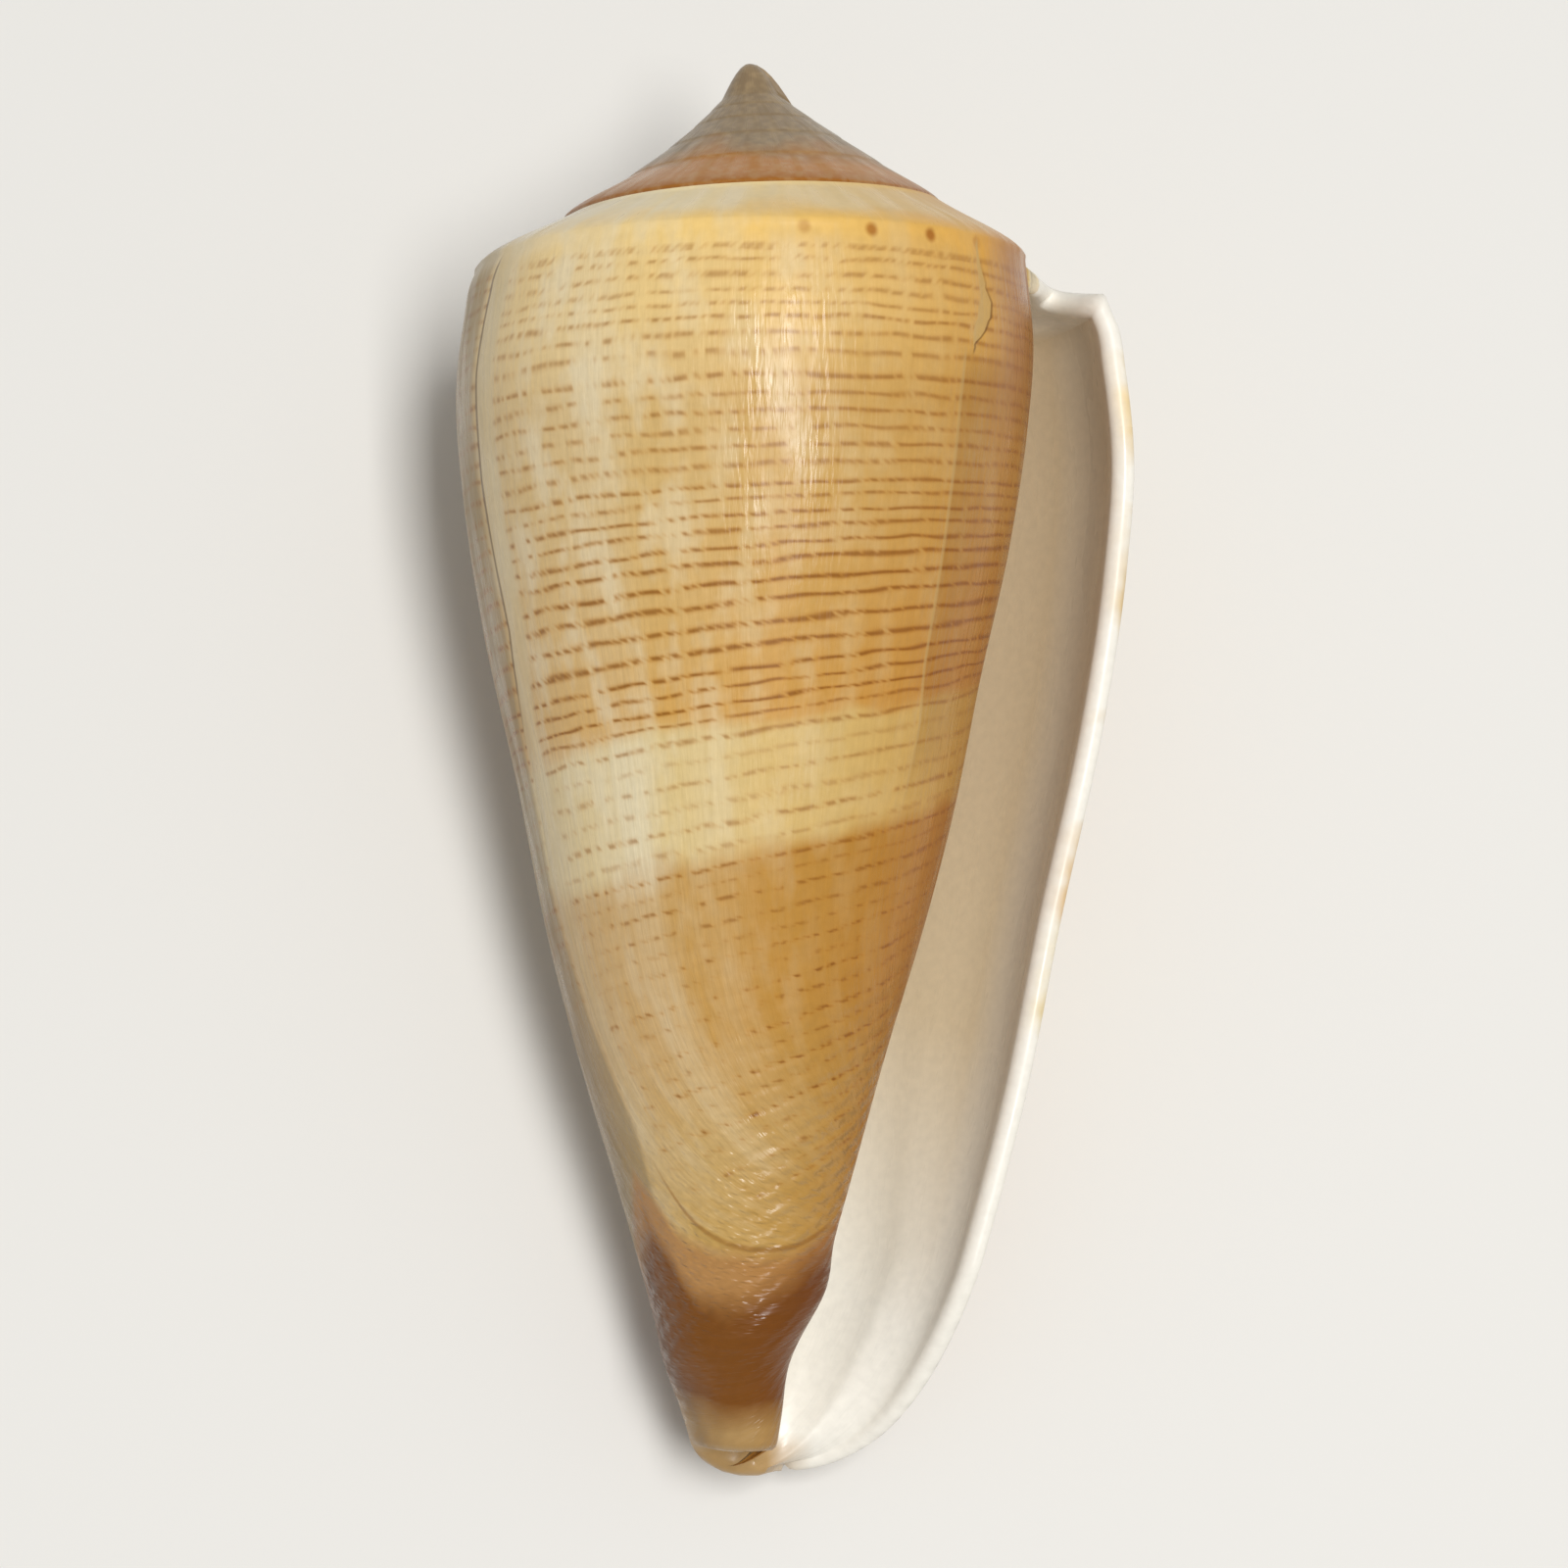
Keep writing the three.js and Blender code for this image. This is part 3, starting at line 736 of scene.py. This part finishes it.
def beyond(tree, *limits):
    """1 where every value is beyond its second limit, and evenly down to 0 at its first."""
    return product(tree, *(node(tree, "MapRange", limit) for limit in limits))


def patches(tree, across, down, pattern):
    """Soft random patches of a pattern's width and length, with finer ones laid over them."""
    width, height, detail = pattern
    cells = node(tree, "CombineXYZ", [
        product(tree, across, 1 / width), product(tree, down, 1 / height),
    ])
    spread = {"Vector": cells, "Scale": 1, "Detail": detail}
    return node(tree, "TexNoise", spread, noise_dimensions="2D")


def coated(tree, ground, paint, coats):
    """The ground with coats of colour laid over it, each by its mask, strength and name."""
    for mask, strength, name in coats:
        cover = {"Factor": product(tree, mask, strength), "A": ground, "B": paint[name]}
        ground = node(tree, "Mix", cover, data_type="RGBA")
    return ground


class ShellLooks(bpy.types.PropertyGroup):
    """Colours of the shell."""

    ramp: colour("Ramp", "Ivory of the ramp between suture and shoulder", "#fbeac0")
    ramp_end: colour("Ramp's end", "Tan where the ramp runs under the lip", "#cfa262")
    shoulder: colour("Shoulder", "Yellow band along the shoulder", "#fbd98c")
    light: colour("Light tan", "Ground below the shoulder", "#f1d395")
    tan: colour("Tan", "Ground of the upper side", "#dab97c")
    gold: colour("Gold", "Darker ground above the pale band", "#d9ab60")
    pale: colour("Pale band", "Cream band below the middle", "#e3cb92")
    honey: colour("Honey", "Ground of the lower side", "#c89b50")
    straw: colour("Straw", "Paler ground near the base", "#c9a563")
    rosy: colour("Rosy base", "Pinkish tan below the base line", "#b88a56")
    brown: colour("Brown base", "Brown round the columella", "#7d4c16")
    # Darker than the tip's own cream: partly painted shade, as its lower end lies in shade.
    tip: colour("Tip", "Cream tip of the columella", "#b39160")
    dash: colour("Dashes", "Brown of the dashed rows", "#8a540c")
    halo: colour("Rows", "Golden line between and around the dashes", "#c08222")
    scar: colour("Scar", "Pale strips beside the growth scars", "#e2d3b0")
    crack: colour("Crack", "Dark lines of the growth scars", "#5c4020")
    milky: colour("Milky streaks", "White streaks across the rows", "#efe6d0")
    spire: colour("Spire", "Worn olive grey of the early whorls", "#8a7558")
    worn: colour("Worn", "Paler grains where the spire is worn", "#b59c74")
    russet: colour("Russet", "Darker brown along the last suture", "#8a5222")
    rust: colour("Rust", "Orange brown of the last whorl of the spire", "#b2721c")
    mauve: colour("Mauve", "Pinkish tint at the shoulder beside the aperture", "#a87a62")
    # Partly the newest growth's own greyer tan, partly painted shade along the side's left edge.
    newest_grey_and_shade: colour("Dusk", "Greyer tan of the newest growth", "#94805e")
    # Painted shade: a darker beige deep inside the aperture, where the hollow lies in shade.
    depth: colour("Depth", "Beige deep inside the aperture", "#dcc6a0")
    inside: colour("Inside", "Porcelain white inside the aperture", "#f3eee2")


def shell_colours(looks):
    """The shell's colours by name, with one that lies between tan and gold."""
    paint = {name: tuple(getattr(looks, name)) for name in ShellLooks.__annotations__}
    paint["deep_tan"] = tuple(lerp(a, b, 0.6) for a, b in zip(paint["tan"], paint["gold"]))
    return paint


class GrowthMarks:
    """What the material reads from the skin, and the noises and masks that its parts share."""

    def __init__(self, tree):
        growth = node(tree, "Attribute", attribute_name="growth").outputs["Vector"]
        self.turn, self.row, self.along = node(tree, "SeparateXYZ", [growth]).outputs
        self.inside = node(tree, "Attribute", attribute_name="inside").outputs["Fac"]
        self.line = node(tree, "Attribute", attribute_name="growth_line").outputs["Fac"]
        self.line_mm = product(tree, self.line, ROUND_SIDE)

        place = node(tree, "TexCoord").outputs["Object"]
        in_mm = node(tree, "VectorMath", {0: place, "Scale": 1 / MM}, operation="SCALE")
        self.x, self.y, _ = node(tree, "SeparateXYZ", [in_mm]).outputs
        self.cloud, self.speckle = (
            node(tree, "TexNoise", {"Vector": in_mm, "Scale": 1 / size, "Detail": 3})
            for size in (CLOUD_SIZE, SPECKLE_SIZE)
        )
        self.wander = node(tree, "MapRange", [self.cloud, 0.3, 0.7, -0.5, 0.5])
        strands = {"W": product(tree, self.line_mm, 1 / STRAND_WIDTH), "Scale": 1, "Detail": 3}
        self.strands = node(tree, "TexNoise", strands, noise_dimensions="1D")

        self.outside = node(tree, "Math", [1, self.inside], operation="SUBTRACT")
        body = band_over(tree, self.turn, -1.001, -1, -0.02, -0.01)
        self.on_body = product(tree, self.outside, body)
        side = band_over(tree, self.row, 8, 9.5, 46, 50)
        self.on_side = product(tree, self.outside, side)


class ShellScars:
    """Masks of the scars, and how far a point lies past the old lip and the base line, in mm."""

    def __init__(self, tree, at):
        def past(scar):
            off = [at.turn, read_off(tree, at.row, scar)]
            return product(tree, node(tree, "Math", off, operation="SUBTRACT"), ROUND_SIDE)

        self.past_lip, past_crack, past_right = past(OLD_LIP), past(CRACK), past(CHIP_RIGHT)
        for name, line, limits, rows in (
            ("strip", self.past_lip, (-1.7, -1.2, -0.1, 0.1), (8, 9.5, 43, 46)),
            ("hairline", self.past_lip, (-0.12, -0.03, 0.03, 0.12), (8.4, 9, 24, 28)),
            ("crack", past_crack, (-0.16, -0.02, 0.02, 0.16), (12.5, 13.5, 31, 33.5)),
            ("shade", past_crack, (-7, -0.1, 0, 0.1), (12.5, 14, 30, 34)),
            ("chip_line", past_right, (-0.1296, -0.0288, 0, 0.0576), (8.8, 11.6, 12.9, 13.2)),
        ):
            setattr(self, name, patch_over(tree, line, limits, at.row, rows))
        between = beyond(tree, (past(CHIP_LEFT), 0, -0.18), (past_right, 0, 0.0432))
        self.chip = product(tree, between, band_over(tree, at.row, 8.4, 8.8, 12.9, 13.05))
        off_base = [at.row, read_off(tree, at.turn, BASE_LINE)]
        self.past_base = node(tree, "Math", off_base, operation="SUBTRACT")
        self.base_line = patch_over(
            tree, self.past_base, (-0.2, -0.04, 0.04, 0.2), at.turn, (-0.9, -0.84, -0.63, -0.6)
        )


def dashed_rows(tree, at, pale):
    """The brown beads of the spiral rows, and the golden line that runs on between them."""
    wave = patches(tree, at.along, at.row, ROW_WAVES)
    waver = node(tree, "MapRange", [wave, 0.3, 0.7, -ROW_WAVER, ROW_WAVER])
    wavering = node(tree, "Math", [at.row, waver], operation="ADD")
    strength = read_off(tree, wavering, ROWS)
    place = read_off(tree, wavering, [(row, n) for n, (row, _) in enumerate(ROWS)])
    whole = node(tree, "Math", [place], operation="ROUND")
    off_centre = node(tree, "Math", [place, 0.5], operation="PINGPONG")
    away = product(tree, off_centre, read_off(tree, at.row, ROW_SPACING))

    dash = patches(tree, at.along, product(tree, whole, DASH_JUMP), DASHES)
    bead = patches(tree, at.along, product(tree, whole, BEAD_JUMP), BEADS)
    group = patches(tree, at.line_mm, at.row, DASH_GROUPS)
    crowded = [read_off(tree, at.turn, CROWDED_BY_TURN), read_off(tree, at.row, CROWDED_BY_ROW)]
    inked = node(tree, "Math", crowded, operation="ADD")
    for part, share in ((group, 1.25), (dash, 0.35), (bead, 0.9), (strength, 0.12), (pale, -0.3)):
        inked = node(tree, "Math", [part, share, inked], operation="MULTIPLY_ADD")

    on_dash, on_line, dark, golden = (
        node(tree, "MapRange", limits, interpolation_type="SMOOTHSTEP")
        for limits in ((away, 0.14, 0.01), (away, 0.23, 0),
                       (inked, 1.18, 1.72, 0.04, 1), (inked, 0.95, 1.5))
    )
    core = product(tree, strength, read_off(tree, at.row, DASHES_BY_ROW), on_dash, dark)
    halo = product(tree, strength, on_line, golden)
    return core, halo


def shoulder_spots(tree, at):
    """The round rusty spots along the shoulder."""
    past_spot = node(tree, "Math", [at.turn, SPOT_TURN], operation="SUBTRACT")
    off_turn = node(tree, "Math", [past_spot, HALF_STEP], operation="PINGPONG")
    off_row = node(tree, "Math", [at.row, SPOT_ROW], operation="SUBTRACT")
    off_spot = node(tree, "CombineXYZ", [product(tree, off_turn, ROUND_SIDE), off_row])
    away = node(tree, "VectorMath", [off_spot], operation="LENGTH").outputs["Value"]
    disc = node(tree, "MapRange", [away, 0.38, 0.1], interpolation_type="SMOOTHSTEP")
    return product(tree, disc, band_over(tree, at.turn, -0.9, -0.87, -0.82, -0.72))


def painted_side(tree, at, paint):
    """Colours of the body whorl: bands that waver a little, and every coat that lies on them."""
    scars = ShellScars(tree, at)
    level = node(tree, "Math", [at.row, at.wander], operation="ADD")
    ground = colours_along(tree, level, [(place, paint[name]) for place, name in BANDS])
    pale = patches(tree, at.line_mm, at.row, PALE_PATCHES)
    pale = node(tree, "MapRange", [pale, 0.44, 0.7])
    core, halo = dashed_rows(tree, at, pale)
    clear = product(
        tree, band_over(tree, at.turn, -0.99, -0.975, -0.006, 0),
        *(node(tree, "Math", [1, mark], operation="SUBTRACT")
          for mark in (scars.strip, scars.chip)),
        beyond(tree, (scars.past_base, -1, -2), (at.row, 9.15, 9.3)),
    )
    milky = product(
        tree, read_off(tree, at.line, STREAKS_BY_TURN), read_off(tree, at.row, STREAKS_BY_ROW),
        node(tree, "MapRange", [at.strands, 0.3, 0.6, 0.85, 1]),
    )
    patchy = product(
        tree, pale, read_off(tree, at.turn, PALE_BY_TURN), read_off(tree, at.row, PALE_BY_ROW)
    )
    greyed = band_over(tree, at.turn, -0.66, -0.58, -0.3, -0.1)
    # Greyer newest growth past the old lip: partly its own colour, partly painted shade at the
    # edge.
    newest = product(tree, band_over(tree, scars.past_lip, 0, 0.6, 18, 30), at.on_body)
    by_aperture = patch_over(
        tree, at.turn, (-1, -0.98, -0.93, -0.88), at.row, (7.6, 8.6, 12, 18)
    )
    bleached = patch_over(tree, at.turn, (-0.68, -0.6, -0.3, -0.1), at.row, (3, 4, 8.4, 9.2))

    past_rosy, past_brown = (
        node(tree, "Math", [scars.past_base, edge], operation="SUBTRACT")
        for edge in (read_off(tree, at.turn, ROSY_FROM), read_off(tree, at.turn, BROWN_FROM))
    )
    rosy = node(tree, "MapRange", [past_rosy, -0.1, 0.7])
    past_brown = node(tree, "Math", [at.wander, 1.5, past_brown], operation="MULTIPLY_ADD")
    browned = node(tree, "MapRange", [past_brown, -0.6, 1.2])
    # The tip's colour, partly painted shade, where the side runs down to the columella.
    tip_level = node(tree, "Math", [at.turn, TIP_CLIMB, level], operation="MULTIPLY_ADD")
    tip = node(tree, "MapRange", [tip_level, 43.2, 44.6])
    return coated(tree, ground, paint, [
        (patchy, 1, "milky"),
        (shoulder_spots(tree, at), 0.85, "rust"),
        (milky, 1, "milky"),
        (greyed, 0.2, "scar"),
        (newest, 0.6, "newest_grey_and_shade"),
        (product(tree, halo, clear), 0.62, "halo"),
        (product(tree, core, clear), read_off(tree, at.turn, DASHES_BY_TURN), "dash"),
        (by_aperture, 0.6, "mauve"),
        (bleached, 0.5, "milky"),
        (rosy, 1, "rosy"),
        (browned, 1, "brown"),
        (tip, 1, "tip"),
        (scars.strip, read_off(tree, at.row, STRIP_BY_ROW), "scar"),
        (scars.shade, 0.25, "brown"),
        (scars.crack, 0.5, "scar"),
        (scars.base_line, 0.5, "dash"),
        (scars.chip, 0.9, "scar"),
        (scars.hairline, 0.7, "crack"),
        (scars.chip_line, 0.6, "crack"),
    ])


def painted_spire(tree, at, paint):
    """Rust near the last suture, worn olive grey above, tan where the ramp runs under the lip."""
    height = node(tree, "Math", [at.wander, 1.6, at.y], operation="MULTIPLY_ADD")
    ground = colours_along(tree, height, [(place, paint[name]) for place, name in SPIRE_BANDS])
    near_suture = beyond(tree, (at.row, 7.9, 8.5), (at.turn, -2.1, -1.9))
    worn = node(tree, "MapRange", [at.speckle, 0.42, 0.66])
    under_lip = node(tree, "MapRange", [at.turn, -1.4, -1.12])
    return coated(tree, ground, paint, [
        (near_suture, 0.6, "russet"), (worn, 0.3, "worn"),
        (under_lip, 1, "ramp_end"),
    ])


def painted_shell(tree, at, paint):
    """All the colours: the white of the lip and the hollow, painted shade deep in the hollow, and
    the side's amber tint, which is partly painted shade.
    """
    in_spire = node(tree, "MapRange", [at.turn, -0.999, -1.001])
    lip = beyond(tree, (at.turn, -0.03, -0.008), (at.cloud, 0.36, 0.5))
    lip_corner = beyond(tree, (at.turn, -0.13, -0.05), (at.row, 11, 9))
    # Painted shade deep inside the aperture, away from the lip and in its upper part.
    deep = beyond(tree, (at.turn, -0.008, -0.06), (at.row, 43, 33))
    # The tip's colour, partly painted shade, over the columella's lower end.
    tip_end = beyond(tree, (at.y, -25.6, -26.2), (at.x, 1.2, -0.8))
    aged = {"aged": painted_spire(tree, at, paint)}
    whole = coated(tree, painted_side(tree, at, paint), paint | aged, [
        (in_spire, 1, "aged"),
        (lip, 1, "inside"),
        (lip_corner, 1, "inside"),
        (at.inside, 1, "inside"),
        (product(tree, at.inside, deep), 0.85, "depth"),
        (tip_end, 1, "tip"),
    ])
    # Tint: partly the side's own amber, partly painted shade where the side turns from the light.
    tint = colours_along(tree, at.turn, SIDE_TINT_AND_SHADE)
    uneven = node(tree, "MapRange", [at.speckle, 0.3, 0.7, 0.96, 1.03])
    streaky = product(tree, uneven, node(tree, "MapRange", [at.strands, 0.3, 0.7, 0.98, 1.02]))
    blend = {"Factor": at.on_side, "A": uneven, "B": streaky}
    shade = node(tree, "Mix", blend, data_type="FLOAT")
    for mask, factor in ((at.on_body, tint), (1, shade)):
        darker = {"Factor": mask, "A": whole, "B": factor}
        whole = node(tree, "Mix", darker, data_type="RGBA", blend_type="MULTIPLY")
    return whole


def surface_relief(tree, at):
    """Scratches along the growth lines, broken threads round the base and a faint grain."""
    scratches = product(tree, patches(tree, at.line_mm, at.row, SCRATCHES), at.on_side)
    wave = product(tree, at.row, 2 * math.pi / THREAD_PITCH)
    wave = node(tree, "Math", [wave], operation="SINE")
    breaks = patches(tree, at.line_mm, at.row, THREAD_BREAKS)
    threads = product(
        tree, wave, read_off(tree, at.row, THREADS_BY_ROW),
        node(tree, "MapRange", [breaks, 0.38, 0.6, 0.15, 1]),
    )
    relief = node(tree, "Math", [scratches, 0.5, threads], operation="MULTIPLY_ADD")
    relief = product(tree, relief, at.outside)
    relief = node(tree, "Math", [at.speckle, 0.12, relief], operation="MULTIPLY_ADD")
    depth = {"Height": relief, "Distance": RELIEF_DEPTH * MM, "Strength": 1}
    return node(tree, "Bump", depth)


def shell_material(looks):
    """Sea snail shell, grown in thin layers of aragonite and polished by the animal as it grew.

    The colour lies under a hard clear surface, so it looks glazed. Fine scratches along the growth
    lines and low threads round the base break up its highlights.
    """
    material = bpy.data.materials.new("snail_shell_glazed")
    material.use_nodes = True
    tree = material.node_tree
    surface = tree.nodes["Principled BSDF"]
    at = GrowthMarks(tree)
    polish = patches(tree, at.line_mm, at.row, POLISH)
    made = {
        "Base Color": painted_shell(tree, at, shell_colours(looks)),
        "Normal": surface_relief(tree, at),
        "Roughness": node(tree, "MapRange", [polish, 0.35, 0.65, 0.2, 0.44]),
    }
    for name, last in made.items():
        tree.links.new(result(last), surface.inputs[name])
    surface.inputs["IOR"].default_value = 1.53
    surface.inputs["Specular IOR Level"].default_value = 0.3
    return material


def floor_material(looks):
    """Matt paper, smooth and uncoated, which takes a soft shadow and gives no shine."""
    material = bpy.data.materials.new("floor_paper")
    material.use_nodes = True
    surface = material.node_tree.nodes["Principled BSDF"]
    surface.inputs["Base Color"].default_value = (*looks.floor, 1)
    surface.inputs["Roughness"].default_value = 0.9
    return material


class StageLooks(bpy.types.PropertyGroup):
    """The floor and the light round the shell, and where the shell lies."""

    floor: colour("Floor", "Pale floor", "#e6e4df")
    room: number("Room light", "Strength of the even light from all round", 0.34)
    window: number("Window light", "Power of the tall window above the shell", 1.65, unit="POWER")
    window_width: length("Window width", "Width of that window", 90)
    window_length: length("Window length", "Length of that window", 260)
    window_distance: length("Window distance", "How far the window is from the shell", 450)
    window_angle: angle("Window angle", "How far the window stands to the right", 14)
    window_lean: number("Window lean", "How far it stands toward the spire, for its height", 0.09)
    apex: bpy.props.FloatVectorProperty(
        name="Apex", description="Where the shell's apex lies, as Grow Shell leaves it",
        size=3, subtype="TRANSLATION", unit="LENGTH", precision=5,
    )


def linked(scene, name, data):
    """A new object in the scene."""
    made = bpy.data.objects.new(name, data)
    scene.collection.objects.link(made)
    return made


def set_facing(thing, place, back, up):
    """Puts a camera or a lamp at a place, with its back to a direction."""
    right = up.cross(back).normalized()
    axes = Matrix((right, back.cross(right), back)).transposed()
    thing.matrix_world = Matrix.Translation(place) @ axes.to_4x4()


class SHELL_OT_grow(bpy.types.Operator):
    """Grow the shell and give it its glossy dashed surface"""

    bl_idname = "shell.grow"
    bl_label = "Grow Shell"
    bl_options = {"REGISTER", "UNDO"}

    def execute(self, context):
        scene = context.scene
        points, faces, marks = shell_skin(ShellForm(scene.shell_sizes))
        points, shift = laid_down(points, scene.shell_sizes)
        scene.shell_stage.apex = shift
        mesh = bpy.data.meshes.new("shell")
        mesh.from_pydata(points.tolist(), [], faces)
        mesh.shade_smooth()
        growth = mesh.attributes.new("growth", "FLOAT_VECTOR", "CORNER")
        growth.data.foreach_set("vector", marks[:, :3].astype(np.float32).ravel())
        for name, column in (("inside", 3), ("growth_line", 4)):
            mark = mesh.attributes.new(name, "FLOAT", "CORNER")
            mark.data.foreach_set("value", marks[:, column].astype(np.float32))
        mesh.materials.append(shell_material(scene.shell_looks))
        shell = linked(scene, "shell", mesh)
        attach(shell, "root")
        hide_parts("cone_shell")
        return {"FINISHED"}


class SHELL_OT_stage(bpy.types.Operator):
    """Lay the floor, hang the studio lights and aim the camera"""

    bl_idname = "shell.stage"
    bl_label = "Set Stage"
    bl_options = {"REGISTER", "UNDO"}

    def execute(self, context):
        scene = context.scene
        stage = scene.shell_stage
        turn = rest_turn(scene.shell_sizes)
        eye, aim = (turn @ Vector(place) * MM + Vector(stage.apex) for place in (EYE, AIM))
        up = turn @ Vector((0, 1, 0))

        camera = linked(scene, "camera", bpy.data.cameras.new("camera"))
        set_facing(camera, eye, (eye - aim).normalized(), up)
        camera.data.sensor_width = SENSOR_WIDTH_MM
        camera.data.angle = 2 * math.atan(HALF_VIEW)
        camera.data.clip_start, camera.data.clip_end = CLIP_NEAR, CLIP_FAR
        scene.camera = camera

        mesh = bpy.data.meshes.new("floor")
        corners = [(x * FLOOR_REACH, y * FLOOR_REACH, 0)
                   for x, y in ((-1, -1), (1, -1), (1, 1), (-1, 1))]
        mesh.from_pydata(corners, [], [(0, 1, 2, 3)])
        mesh.materials.append(floor_material(stage))
        linked(scene, "floor", mesh)

        world = bpy.data.worlds.new("room")
        world.use_nodes = True
        background = world.node_tree.nodes["Background"]
        background.inputs["Color"].default_value = (1, 1, 1, 1)
        background.inputs["Strength"].default_value = stage.room
        scene.world = world
        scene.view_settings.view_transform = "Standard"

        # A tall window above the shell, a little to the right, whose image is the long highlight.
        lamp = bpy.data.lights.new("window", "AREA")
        lamp.shape = "RECTANGLE"
        lamp.size, lamp.size_y = stage.window_width, stage.window_length
        lamp.energy = stage.window
        toward = Vector((math.sin(stage.window_angle), stage.window_lean, 1))
        toward = (turn @ toward).normalized()
        place = aim + stage.window_distance * toward
        set_facing(linked(scene, "window", lamp), place, toward, up)
        return {"FINISHED"}


class SHELL_PT_panel(bpy.types.Panel):
    """Sizes and colours of the shell"""

    bl_idname = "SHELL_PT_panel"
    bl_label = "Cone Shell"
    bl_space_type = "VIEW_3D"
    bl_region_type = "UI"
    bl_category = "Shell"

    def draw(self, context):
        layout, scene = self.layout, context.scene
        for name, group in GROUPS.items():
            box = layout.box()
            for field in group.__annotations__:
                if field != "apex":
                    box.prop(getattr(scene, name), field)
        layout.operator(SHELL_OT_grow.bl_idname)
        layout.operator(SHELL_OT_stage.bl_idname)


GROUPS = {"shell_sizes": ShellSizes, "shell_looks": ShellLooks, "shell_stage": StageLooks}
CLASSES = (*GROUPS.values(), SHELL_OT_grow, SHELL_OT_stage, SHELL_PT_panel)


def register():
    for each in CLASSES:
        bpy.utils.register_class(each)
    for name, group in GROUPS.items():
        setattr(bpy.types.Scene, name, bpy.props.PointerProperty(type=group))


def unregister():
    for name in GROUPS:
        delattr(bpy.types.Scene, name)
    for each in reversed(CLASSES):
        bpy.utils.unregister_class(each)


def main():
    register()
    bpy.ops.shell.grow()
    bpy.ops.shell.stage()


if __name__ == "__main__":
    main()
